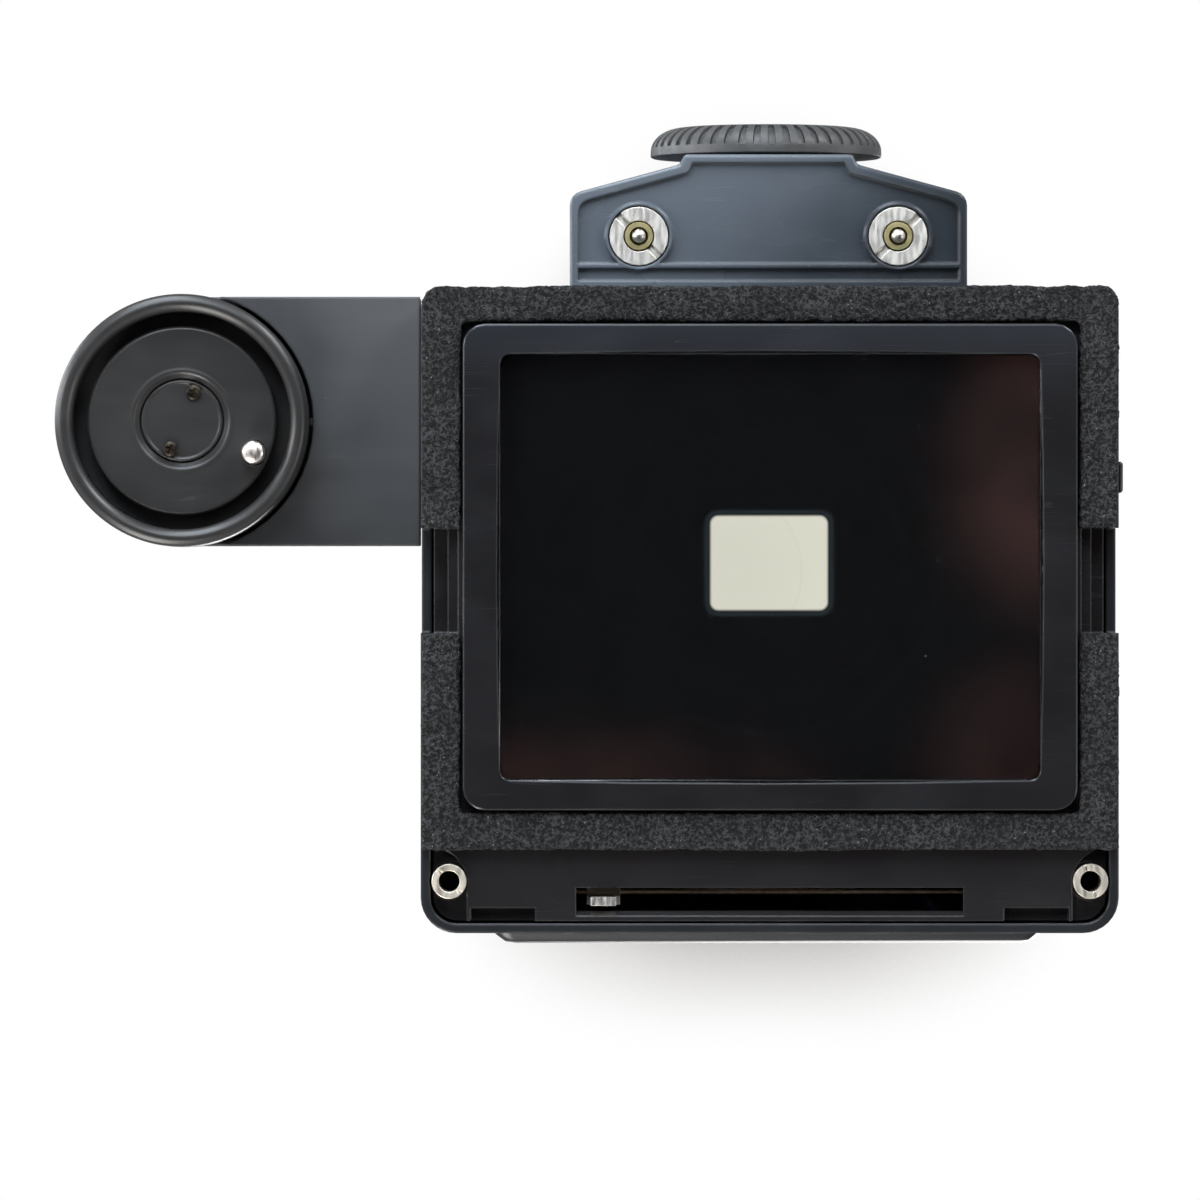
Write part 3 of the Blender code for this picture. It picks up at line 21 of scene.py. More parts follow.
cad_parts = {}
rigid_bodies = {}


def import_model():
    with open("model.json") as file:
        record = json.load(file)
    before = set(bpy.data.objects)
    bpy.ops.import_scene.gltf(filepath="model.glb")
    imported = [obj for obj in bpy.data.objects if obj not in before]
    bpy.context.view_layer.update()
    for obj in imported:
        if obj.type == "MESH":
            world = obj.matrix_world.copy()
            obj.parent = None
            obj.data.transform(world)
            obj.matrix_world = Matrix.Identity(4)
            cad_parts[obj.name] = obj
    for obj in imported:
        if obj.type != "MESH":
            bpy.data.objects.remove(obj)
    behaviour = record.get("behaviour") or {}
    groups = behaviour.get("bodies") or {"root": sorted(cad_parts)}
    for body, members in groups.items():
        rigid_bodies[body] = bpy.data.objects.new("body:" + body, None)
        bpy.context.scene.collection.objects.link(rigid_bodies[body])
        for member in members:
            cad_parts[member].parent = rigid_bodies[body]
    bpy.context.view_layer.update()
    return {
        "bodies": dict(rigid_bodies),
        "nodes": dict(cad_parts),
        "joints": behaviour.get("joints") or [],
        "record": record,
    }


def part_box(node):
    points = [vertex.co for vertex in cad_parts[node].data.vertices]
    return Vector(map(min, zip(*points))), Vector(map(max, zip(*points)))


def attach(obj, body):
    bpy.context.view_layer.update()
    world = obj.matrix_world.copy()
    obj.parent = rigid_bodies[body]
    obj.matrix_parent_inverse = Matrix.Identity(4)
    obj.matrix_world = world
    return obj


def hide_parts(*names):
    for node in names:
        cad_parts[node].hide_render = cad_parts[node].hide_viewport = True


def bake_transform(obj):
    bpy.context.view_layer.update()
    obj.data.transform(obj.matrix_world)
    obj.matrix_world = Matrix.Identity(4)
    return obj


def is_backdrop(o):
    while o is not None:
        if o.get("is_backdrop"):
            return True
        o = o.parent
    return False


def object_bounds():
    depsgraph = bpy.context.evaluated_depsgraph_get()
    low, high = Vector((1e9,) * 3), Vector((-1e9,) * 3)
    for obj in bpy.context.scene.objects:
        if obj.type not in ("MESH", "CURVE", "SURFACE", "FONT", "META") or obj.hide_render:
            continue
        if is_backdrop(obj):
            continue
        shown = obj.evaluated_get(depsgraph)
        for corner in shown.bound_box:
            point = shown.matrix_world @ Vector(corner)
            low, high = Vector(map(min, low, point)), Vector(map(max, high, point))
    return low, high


LOG = logging.getLogger("prism_finder")

MM = 0.001
WELD = 1e-6
FLAT = math.radians(0.4)
RIB_EDGE = 0.04 * MM
DIAL_AXIS = (72.5, 18.1, 0.0)
NUT_PLACE = (16.05, 41.0)

Colour = tuple[float, float, float]
Point = tuple[float, float, float]
Socket = bpy.types.NodeSocket
Piece = bpy.types.Object
Rule = Callable[[Vector, Vector], bool]


class Slot(Enum):
    """The finishes of the part's record, named for each new piece but not read."""

    ENAMEL = "black_enamel"
    SATIN = "satin_black"
    MOULDED = "moulded_black"
    FOAM = "seal_foam"
    GLASS = "optical_glass"
    NICKEL = "nickel"
    STEEL = "steel"
    BRONZE = "bronze"
    AMBER = "amber_resin"


class Axis(Enum):
    """The line that a turned piece is round, with the two directions across it."""

    Z = (Vector((1, 0, 0)), Vector((0, 1, 0)), Vector((0, 0, 1)))
    Y = (Vector((1, 0, 0)), Vector((0, 0, -1)), Vector((0, 1, 0)))


# ---------------------------------------------------------------- materials


class Graph:
    """One material's nodes, with short ways to add what a finish needs."""

    def __init__(self, name: str) -> None:
        """Starts a material with one principled shader.

        Args:
            name: The material's name.
        """
        self.material = bpy.data.materials.new(name)
        self.material.use_nodes = True
        self.tree = self.material.node_tree
        self.tree.nodes.clear()
        self.output = self.add("ShaderNodeOutputMaterial")
        self.shader = self.add("ShaderNodeBsdfPrincipled")
        self.tree.links.new(self.shader.outputs["BSDF"], self.output.inputs["Surface"])
        self.place = self.add("ShaderNodeTexCoord").outputs["Object"]

    def add(self, kind: str, **settings: object) -> bpy.types.Node:
        """Adds a node.

        Args:
            kind: The node's type.
            settings: Values of the node's own properties.

        Returns:
            The new node.
        """
        node = self.tree.nodes.new(kind)
        for name, value in settings.items():
            setattr(node, name, value)
        return node

    def feed(self, socket: Socket, value: Socket | float | Sequence[float]) -> None:
        """Links a socket to an output, or sets it to a constant."""
        if isinstance(value, Socket):
            self.tree.links.new(value, socket)
        else:
            socket.default_value = value

    def set(self, **values: Socket | float | Sequence[float]) -> None:
        """Sets inputs of the shader; an underscore in a name stands for a space."""
        for name, value in values.items():
            if isinstance(value, tuple) and len(value) == 3:
                value = (*value, 1.0)
            self.feed(self.shader.inputs[name.replace("_", " ")], value)

    def where(self, stretch: Point = (1, 1, 1), turn: float = 0.0, centre: Point = (0, 0, 0)) -> Socket:
        """Maps the piece's own place for a texture.

        Args:
            stretch: Scale along each axis, below one for a pattern drawn out that way.
            turn: Turn about Z in degrees.
            centre: The place in millimetres that becomes the middle of the pattern.

        Returns:
            The mapped vector.
        """
        node = self.add("ShaderNodeMapping", vector_type="POINT")
        self.feed(node.inputs["Vector"], self.place)
        moved = Vector(centre) * -MM
        place = (moved.x * stretch[0], moved.y * stretch[1], moved.z * stretch[2])
        node.inputs["Location"].default_value = place
        node.inputs["Rotation"].default_value = (0, 0, math.radians(turn))
        node.inputs["Scale"].default_value = stretch
        return node.outputs["Vector"]

    def noise(self, size: float, detail: float = 3.0, at: Socket | None = None, rough: float = 0.5) -> Socket:
        """Adds cloudy noise.

        Args:
            size: Size of the pattern in millimetres.
            detail: How many finer layers it has.
            at: Where it is read, or the piece's own place.
            rough: Strength of the finer layers.

        Returns:
            A value near one half, mostly from 0.3 to 0.7.
        """
        node = self.add("ShaderNodeTexNoise")
        self.feed(node.inputs["Vector"], at or self.place)
        node.inputs["Scale"].default_value = 1.0 / (size * MM)
        node.inputs["Detail"].default_value = detail
        node.inputs["Roughness"].default_value = rough
        return node.outputs["Fac"]

    def cells(self, size: float, feature: str = "F1", output: str = "Distance") -> Socket:
        """Adds a cell pattern of this size in millimetres and returns the output asked for."""
        node = self.add("ShaderNodeTexVoronoi", feature=feature)
        self.feed(node.inputs["Vector"], self.place)
        node.inputs["Scale"].default_value = 1.0 / (size * MM)
        return node.outputs[output]

    def ramp(self, value: Socket, low: float, high: float, to_low: float = 0.0,
             to_high: float = 1.0) -> Socket:
        """Maps a value from one range to another, held at both ends, with a soft start and finish."""
        node = self.add("ShaderNodeMapRange", interpolation_type="SMOOTHSTEP")
        self.feed(node.inputs["Value"], value)
        for name, number in zip(("From Min", "From Max", "To Min", "To Max"), (low, high, to_low, to_high)):
            node.inputs[name].default_value = number
        return node.outputs["Result"]

    def math(self, operation: str, a: Socket | float, b: Socket | float = 0.0) -> Socket:
        """Adds a math node on two values and returns its result."""
        node = self.add("ShaderNodeMath", operation=operation)
        self.feed(node.inputs[0], a)
        self.feed(node.inputs[1], b)
        return node.outputs["Value"]

    def vector(self, operation: str, a: Socket | Point, b: Socket | Point = (0, 0, 0)) -> bpy.types.Node:
        """Adds a vector math node and returns it."""
        node = self.add("ShaderNodeVectorMath", operation=operation)
        self.feed(node.inputs[0], a)
        self.feed(node.inputs[1], b)
        return node

    def mix(self, amount: Socket | float, a: Socket | Colour, b: Socket | Colour) -> Socket:
        """Mixes two colours and returns the mixture."""
        node = self.add("ShaderNodeMix", data_type="RGBA")
        self.feed(node.inputs[0], amount)
        for socket, colour in ((node.inputs[6], a), (node.inputs[7], b)):
            self.feed(socket, colour if isinstance(colour, Socket) else (*colour, 1.0))
        return node.outputs[2]

    def bump(self, height: Socket, depth: float, over: Socket | None = None) -> Socket:
        """Turns a height into a normal.

        Args:
            height: The height, from 0 to 1.
            depth: What a height of one stands for, in millimetres.
            over: A normal that this one is laid over.

        Returns:
            The normal.
        """
        node = self.add("ShaderNodeBump")
        node.inputs["Strength"].default_value = 1.0
        node.inputs["Distance"].default_value = depth * MM
        self.feed(node.inputs["Height"], height)
        if over is not None:
            self.feed(node.inputs["Normal"], over)
        return node.outputs["Normal"]

    def rounded(self, width: float) -> Socket:
        """Rounds the piece's sharp edges in the shading.

        Args:
            width: Radius of the rounding in millimetres.

        Returns:
            The rounded normal.
        """
        node = self.add("ShaderNodeBevel", samples=6)
        node.inputs["Radius"].default_value = width * MM
        return node.outputs["Normal"]

    def edges(self, width: float) -> Socket:
        """Finds the piece's sharp edges.

        Args:
            width: How far from an edge it reaches, in millimetres.

        Returns:
            Zero on a flat face, rising towards each edge.
        """
        flat = self.add("ShaderNodeNewGeometry").outputs["Normal"]
        facing = self.vector("DOT_PRODUCT", self.rounded(width), flat)
        return self.math("SUBTRACT", 1.0, facing.outputs["Value"])

    def specks(self, spacing: float, size: float, share: float) -> Socket:
        """Scatters specks of dust.

        Args:
            spacing: Size of the cell that holds one speck at most, in millimetres.
            size: A speck's radius in millimetres.
            share: Share of the cells that have none.

        Returns:
            One on a speck and zero elsewhere.
        """
        near = self.math("LESS_THAN", self.cells(spacing), size / spacing)
        chosen = self.add("ShaderNodeSeparateColor")
        self.feed(chosen.inputs["Color"], self.cells(spacing, output="Color"))
        return self.math("MULTIPLY", near, self.math("GREATER_THAN", chosen.outputs["Red"], share))

    def scratches(self, size: float, turn: float, width: float) -> Socket:
        """Draws fine lines along one direction.

        Args:
            size: Spacing of the lines in millimetres.
            turn: Direction about Z in degrees.
            width: Width of a line as a share of the pattern.

        Returns:
            One on a line and zero elsewhere.
        """
        drawn = self.noise(size, 1.0, self.where((0.03, 1.0, 1.0), turn))
        off_line = self.math("ABSOLUTE", self.math("SUBTRACT", drawn, 0.5))
        patches = self.ramp(self.noise(size * 5, 2.0), 0.50, 0.62)
        return self.math("MULTIPLY", self.math("LESS_THAN", off_line, width), patches)


@dataclass(frozen=True)
class Paint:
    """Sprayed black paint on metal, with spray texture, handling marks, rubbed edges and, where given, a
    painted sheen that lightens it along a line.
    """

    name: str
    colour: Colour
    tint: Colour
    roughness: float
    spread: float = 0.08
    peel: float = 0.9
    peel_depth: float = 0.0016
    grit: float = 0.0
    bare: Colour = (0.30, 0.27, 0.24)
    wear: float = 0.6
    edge_width: float = 0.22
    soft: float = 0.25
    # A painted sheen: the colour is mixed towards a lighter one along this line, standing for light falling
    # on that side.
    painted_sheen_from: Point | None = None
    painted_sheen_to: Point = (0.0, 0.0, 0.0)
    painted_sheen_colour: Colour = (0.0, 0.0, 0.0)

    def make(self) -> bpy.types.Material:
        """Builds the material.

        Returns:
            The paint as a material.
        """
        g = Graph(self.name)
        clouds = g.noise(14.0, 4.0)
        marks = g.scratches(1.6, 24.0, 0.004)
        colour = g.mix(g.ramp(clouds, 0.35, 0.68), self.colour, self.tint)
        # Painted sheen: lighter towards where the light falls.
        if self.painted_sheen_from is not None:
            colour = g.mix(self.painted_sheen_amount(g), colour, self.painted_sheen_colour)
        dust = g.specks(5.0, 0.07, 0.72)
        colour = g.mix(g.math("MULTIPLY", dust, 0.5), colour, (0.40, 0.42, 0.44))
        rubbed = g.ramp(g.edges(self.edge_width), 0.03, 0.28)
        patches = g.ramp(g.noise(3.2, 5.0, rough=0.7), 0.56, 0.66)
        worn = g.math("MULTIPLY", g.math("MULTIPLY", rubbed, patches), self.wear)
        smears = g.noise(5.0, 3.0, g.where((0.35, 1.0, 1.0), 8.0))
        gloss = g.ramp(smears, 0.35, 0.70, self.roughness, self.roughness + self.spread)
        gloss = g.math("ADD", gloss, g.math("MULTIPLY", marks, 0.12))
        surface = g.bump(g.noise(self.peel, 2.0), self.peel_depth, g.rounded(self.soft))
        if self.grit:
            surface = g.bump(g.noise(0.16, 2.0), self.grit, surface)
        surface = g.bump(g.math("SUBTRACT", 1.0, marks), 0.0012, surface)
        g.set(
            Base_Color=g.mix(worn, colour, self.bare),
            Metallic=g.math("MULTIPLY", worn, 0.8),
            Roughness=gloss,
            Normal=surface,
        )
        return g.material

    def painted_sheen_amount(self, g: Graph) -> Socket:
        """Measures how far a place is along the painted sheen, a little unevenly.

        Args:
            g: The graph.

        Returns:
            One where the painted sheen is strongest and zero where it ends.
        """
        start = Vector(self.painted_sheen_from)
        way = Vector(self.painted_sheen_to) - start
        along = g.vector("DOT_PRODUCT", g.where(centre=tuple(start)), tuple(way / (way.length_squared * MM)))
        wavy = g.math("ADD", along.outputs["Value"], g.math("MULTIPLY", g.noise(9.0, 3.0), 0.3))
        return g.ramp(wavy, 0.1, 1.2, 1.0, 0.0)


@dataclass(frozen=True)
class Moulding:
    """Black moulded plastic with a fine grain and paler, polished edges."""

    name: str
    colour: Colour
    edge_colour: Colour
    roughness: float
    soft: float = 0.12

    def make(self) -> bpy.types.Material:
        """Builds the material.

        Returns:
            The plastic as a material.
        """
        g = Graph(self.name)
        tone = g.ramp(g.noise(4.0, 4.0), 0.35, 0.7)
        rubbed = g.ramp(g.edges(0.15), 0.04, 0.35)
        darker = tuple(c * 0.7 for c in self.colour)
        dust = g.math("MULTIPLY", g.specks(1.4, 0.05, 0.6), 0.35)
        colour = g.mix(g.math("MULTIPLY", rubbed, 0.55), g.mix(tone, darker, self.colour), self.edge_colour)
        g.set(
            Base_Color=g.mix(dust, colour, (0.35, 0.35, 0.34)),
            Roughness=g.ramp(g.noise(0.8, 3.0), 0.3, 0.7, self.roughness - 0.07, self.roughness + 0.1),
            Normal=g.bump(g.noise(0.14, 2.0), 0.003, g.bump(g.noise(1.8, 2.0), 0.004, g.rounded(self.soft))),
        )
        return g.material


@dataclass(frozen=True)
class Metal:
    """Bare or plated metal with tarnish, fine drawn lines and, where it was turned, rings round its axis."""

    name: str
    colour: Colour
    tarnish: Colour
    roughness: float
    drawn: Point = (1.0, 1.0, 1.0)
    turned_about: tuple[float, float] | None = None
    mark_depth: float = 0.004
    second: Colour | None = None
    second_from: float = 0.0
    soft: float = 0.08

    def make(self) -> bpy.types.Material:
        """Builds the material.

        Returns:
            The metal as a material.
        """
        g = Graph(self.name)
        stain = g.ramp(g.noise(1.6, 5.0, rough=0.65), 0.40, 0.68)
        spots = g.math("MULTIPLY", g.specks(0.9, 0.09, 0.55), 0.6)
        colour = g.mix(g.math("MULTIPLY", stain, 0.55), self.colour, self.tarnish)
        if self.second is not None:
            apart = g.add("ShaderNodeSeparateXYZ")
            g.feed(apart.inputs["Vector"], g.place)
            past = g.math("GREATER_THAN", apart.outputs["Y"], self.second_from * MM)
            colour = g.mix(past, colour, self.second)
        lines = g.noise(0.35, 3.0, g.where(self.drawn))
        if self.turned_about is not None:
            lines = self.rings(g)
        scuffs = g.noise(0.5, 4.0, g.where((1.0, 0.2, 1.0), 35.0))
        rough = g.ramp(scuffs, 0.35, 0.7, self.roughness - 0.06, self.roughness + 0.14)
        g.set(
            Base_Color=g.mix(spots, colour, tuple(c * 0.45 for c in self.tarnish)),
            Metallic=1.0,
            Roughness=g.math("ADD", rough, g.math("MULTIPLY", stain, 0.08)),
            Normal=g.bump(lines, self.mark_depth, g.bump(g.noise(0.22, 3.0), 0.002, g.rounded(self.soft))),
        )
        return g.material

    def rings(self, g: Graph) -> Socket:
        """Lays tool marks in rings round the axis, on both sides of the middle plane.

        Args:
            g: The graph that they go into.

        Returns:
            The height of the marks.
        """
        apart = g.add("ShaderNodeSeparateXYZ")
        g.feed(apart.inputs["Vector"], g.place)
        across = g.math("SUBTRACT", g.math("ABSOLUTE", apart.outputs["X"]), self.turned_about[0] * MM)
        along = g.math("SUBTRACT", apart.outputs["Y"], self.turned_about[1] * MM)
        squares = g.math("ADD", g.math("MULTIPLY", across, across), g.math("MULTIPLY", along, along))
        radius = g.math("SQRT", squares)
        wave = g.add("ShaderNodeTexNoise", noise_dimensions="1D")
        g.feed(wave.inputs["W"], radius)
        wave.inputs["Scale"].default_value = 1.0 / (0.14 * MM)
        wave.inputs["Detail"].default_value = 2.0
        return wave.outputs["Fac"]


@dataclass(frozen=True)
class SealFoam:
    """Open-cell foam: its pores darkened by painted shade and its struts lightened by painted light, with
    painted glints and lint caught in it.
    """

    name: str = "seal_foam"
    cell: float = 0.52

    def make(self) -> bpy.types.Material:
        """Builds the material.

        Returns:
            The foam as a material.
        """
        g = Graph(self.name)
        struts = g.ramp(g.cells(self.cell, "DISTANCE_TO_EDGE"), 0.03, 0.30, 1.0, 0.0)
        fine = g.ramp(g.noise(0.24, 3.0, rough=0.7), 0.40, 0.62)
        pits_and_pore_shade = g.ramp(g.noise(0.50, 3.0, rough=0.65), 0.40, 0.58)
        tone = g.ramp(g.noise(6.0, 3.0), 0.35, 0.7, 0.8, 1.15)
        raised = g.math("MAXIMUM", struts, g.math("MULTIPLY", fine, 0.7))
        # Painted light and shade: struts are lit and pores shaded in the colour itself.
        light = g.math("MULTIPLY", g.math("MULTIPLY", raised, pits_and_pore_shade), tone)
        colour = g.mix(light, (0.0016, 0.0017, 0.0019), (0.036, 0.037, 0.0385))
        # Painted glints: pale specks of highlight on the struts.
        glints = g.math("MULTIPLY", g.specks(0.62, 0.075, 0.45), pits_and_pore_shade)
        lint = g.math("MULTIPLY", g.specks(7.0, 0.16, 0.86), 0.8)
        colour = g.mix(g.math("MULTIPLY", glints, 0.85), colour, (0.20, 0.205, 0.21))
        colour = g.mix(lint, colour, (0.42, 0.33, 0.22))
        height = g.math("ADD", g.math("MULTIPLY", struts, 0.5), g.math("MULTIPLY", pits_and_pore_shade, 0.5))
        g.set(
            Base_Color=colour,
            Roughness=0.8,
            Specular_IOR_Level=0.25,
            Normal=g.bump(height, 0.22),
        )
        return g.material


@dataclass(frozen=True)
class Glass:
    """Polished glass with a faint coating, dust and the odd fine scratch."""

    name: str
    tint: Colour
    dust: float
    coat: Colour | None = None

    def make(self) -> bpy.types.Material:
        """Builds the material.

        Returns:
            The glass as a material.
        """
        g = Graph(self.name)
        specks = g.math("MAXIMUM", g.specks(3.4, 0.05, 0.55), g.specks(9.0, 0.10, 0.80))
        dirt = g.math("MULTIPLY", specks, self.dust)
        film = g.ramp(g.noise(9.0, 4.0), 0.45, 0.75, 0.012, 0.05)
        g.set(
            Base_Color=g.mix(dirt, self.tint, (0.55, 0.55, 0.56)),
            Transmission_Weight=g.math("SUBTRACT", 1.0, dirt),
            Roughness=g.math("ADD", film, g.math("MULTIPLY", dirt, 0.5)),
            IOR=1.52,
        )
        if self.coat is not None:
            g.set(Coat_Weight=0.6, Coat_Roughness=0.03, Coat_IOR=1.38, Coat_Tint=self.coat)
        return g.material


@dataclass(frozen=True)
class PaintedPrismView:
    """Painted light of the view through the prism: a near-black face as painted shade, faint painted rings,
    and the pale eyepiece field glowing as the light that comes through.
    """

    name: str = "painted_prism_view"
    centre: tuple[float, float] = (0.1, 0.5)
    half: tuple[float, float] = (7.3, 5.9)
    corner: float = 1.1
    pale: Colour = (0.80, 0.79, 0.665)
    rings: tuple[float, ...] = (16.5, 21.0)

    def make(self) -> bpy.types.Material:
        """Builds the material.

        Returns:
            The painted view as a material that glows in the pale field, and faintly in the haze and rings
            round it.
        """
        g = Graph(self.name)
        flattened = g.vector("MULTIPLY", g.where(centre=(*self.centre, 0)), (1000.0, 1000.0, 0.0))
        flat = flattened.outputs["Vector"]
        reach = g.vector("SUBTRACT", g.vector("ABSOLUTE", flat).outputs["Vector"],
                         (self.half[0] - self.corner, self.half[1] - self.corner, 0.0)).outputs["Vector"]
        outside = g.vector("LENGTH", g.vector("MAXIMUM", reach).outputs["Vector"]).outputs["Value"]
        field_mask = g.ramp(outside, self.corner - 0.34, self.corner + 0.10, 1.0, 0.0)
        rim = g.math("MULTIPLY", g.ramp(outside, self.corner - 0.1, self.corner + 0.35),
                     g.ramp(outside, self.corner + 0.35, self.corner + 0.9, 1.0, 0.0))
        distance = g.vector("LENGTH", flat).outputs["Value"]
        haze = g.math("MULTIPLY", rim, 0.05)
        for radius in self.rings:
            off = g.math("ABSOLUTE", g.math("SUBTRACT", distance, radius))
            haze = g.math("ADD", haze, g.ramp(off, 0.0, 0.6, 0.004, 0.0))
        # Painted light: the glow stands for light through the prism and eyepiece; the dark base colour below
        # is painted shade.
        glow = g.mix(field_mask, (0.0, 0.0, 0.0), self.painted_field_light(g, flat))
        glow = g.mix(haze, glow, (0.30, 0.42, 0.50))
        g.set(
            Base_Color=(0.0035, 0.0036, 0.0040),
            Roughness=g.ramp(g.noise(8.0), 0.3, 0.7, 0.5, 0.7),
            Specular_IOR_Level=0.1,
            Emission_Color=glow,
            Emission_Strength=1.0,
        )
        return g.material

    def painted_field_light(self, g: Graph, flat: Socket) -> Socket:
        """Paints the light in the pale field: a faint arc and a slow change of tone.

        Args:
            g: The graph.
            flat: Place in the field in millimetres.

        Returns:
            The field's colour.
        """
        aside = g.vector("SUBTRACT", flat, (6.5, -1.0, 0)).outputs["Vector"]
        from_side = g.vector("LENGTH", aside).outputs["Value"]
        arc = g.ramp(g.math("ABSOLUTE", g.math("SUBTRACT", from_side, 10.5)), 0.0, 0.22, 0.35, 0.0)
        tone = g.mix(g.ramp(from_side, 3.0, 15.0), tuple(c * 0.95 for c in self.pale), self.pale)
        return g.mix(arc, tone, tuple(c * 0.86 for c in self.pale))


@dataclass(frozen=True)
class Inlay:
    """Filled paint of engraved figures and marks."""

    name: str
    colour: Colour

    def make(self) -> bpy.types.Material:
        """Builds the material.

        Returns:
            The filling as a material.
        """
        g = Graph(self.name)
        tired = g.ramp(g.noise(0.7, 4.0), 0.45, 0.75)
        g.set(
            Base_Color=g.mix(tired, self.colour, tuple(c * 0.62 for c in self.colour)),
            Roughness=g.ramp(g.noise(0.5), 0.3, 0.7, 0.45, 0.6),
            Normal=g.bump(g.noise(0.2), 0.004),
        )
        return g.material


@dataclass(frozen=True)
class Resin:
    """Amber insulating resin, slightly see-through, with flow marks."""

    name: str = "amber_resin"
    colour: Colour = (0.31, 0.275, 0.135)
    deep: Colour = (0.24, 0.205, 0.09)

    def make(self) -> bpy.types.Material:
        """Builds the material.

        Returns:
            The resin as a material.
        """
        g = Graph(self.name)
        flow = g.ramp(g.noise(0.9, 4.0), 0.35, 0.7)
        g.set(
            Base_Color=g.mix(flow, self.colour, self.deep),
            Roughness=g.ramp(g.noise(0.5), 0.3, 0.7, 0.35, 0.5),
            Subsurface_Weight=0.2,
            Subsurface_Scale=0.0004,
            Normal=g.bump(g.noise(0.3, 3.0), 0.006),
        )
        return g.material


@dataclass(frozen=True)
class Laminate:
    """Glass-fibre board or resistor track, with its weave."""

    name: str = "circuit_board"
    colour: Colour = (0.045, 0.13, 0.06)
    thread: Colour = (0.10, 0.22, 0.09)

    def make(self) -> bpy.types.Material:
        """Builds the material.

        Returns:
            The board as a material.
        """
        g = Graph(self.name)
        warp = g.noise(0.4, 1.0, g.where((0.1, 1.0, 1.0)))
        weft = g.noise(0.4, 1.0, g.where((1.0, 0.1, 1.0)))
        weave = g.math("MAXIMUM", warp, weft)
        g.set(
            Base_Color=g.mix(g.ramp(weave, 0.45, 0.7), self.colour, self.thread),
            Roughness=g.ramp(g.noise(1.5), 0.3, 0.7, 0.3, 0.5),
            Normal=g.bump(weave, 0.02),
        )
        return g.material


@dataclass(frozen=True)
class Thread:
    """Twisted cord or lead cover."""

    name: str = "cord"
    colour: Colour = (0.06, 0.05, 0.042)

    def make(self) -> bpy.types.Material:
        """Builds the material.

        Returns:
            The cord as a material.
        """
        g = Graph(self.name)
        twist = g.noise(0.3, 3.0, g.where((1.0, 0.4, 1.0), 40.0))
        g.set(
            Base_Color=g.mix(g.ramp(twist, 0.4, 0.65), self.colour, tuple(c * 2.1 for c in self.colour)),
            Roughness=0.8,
            Normal=g.bump(twist, 0.03),
        )
        return g.material


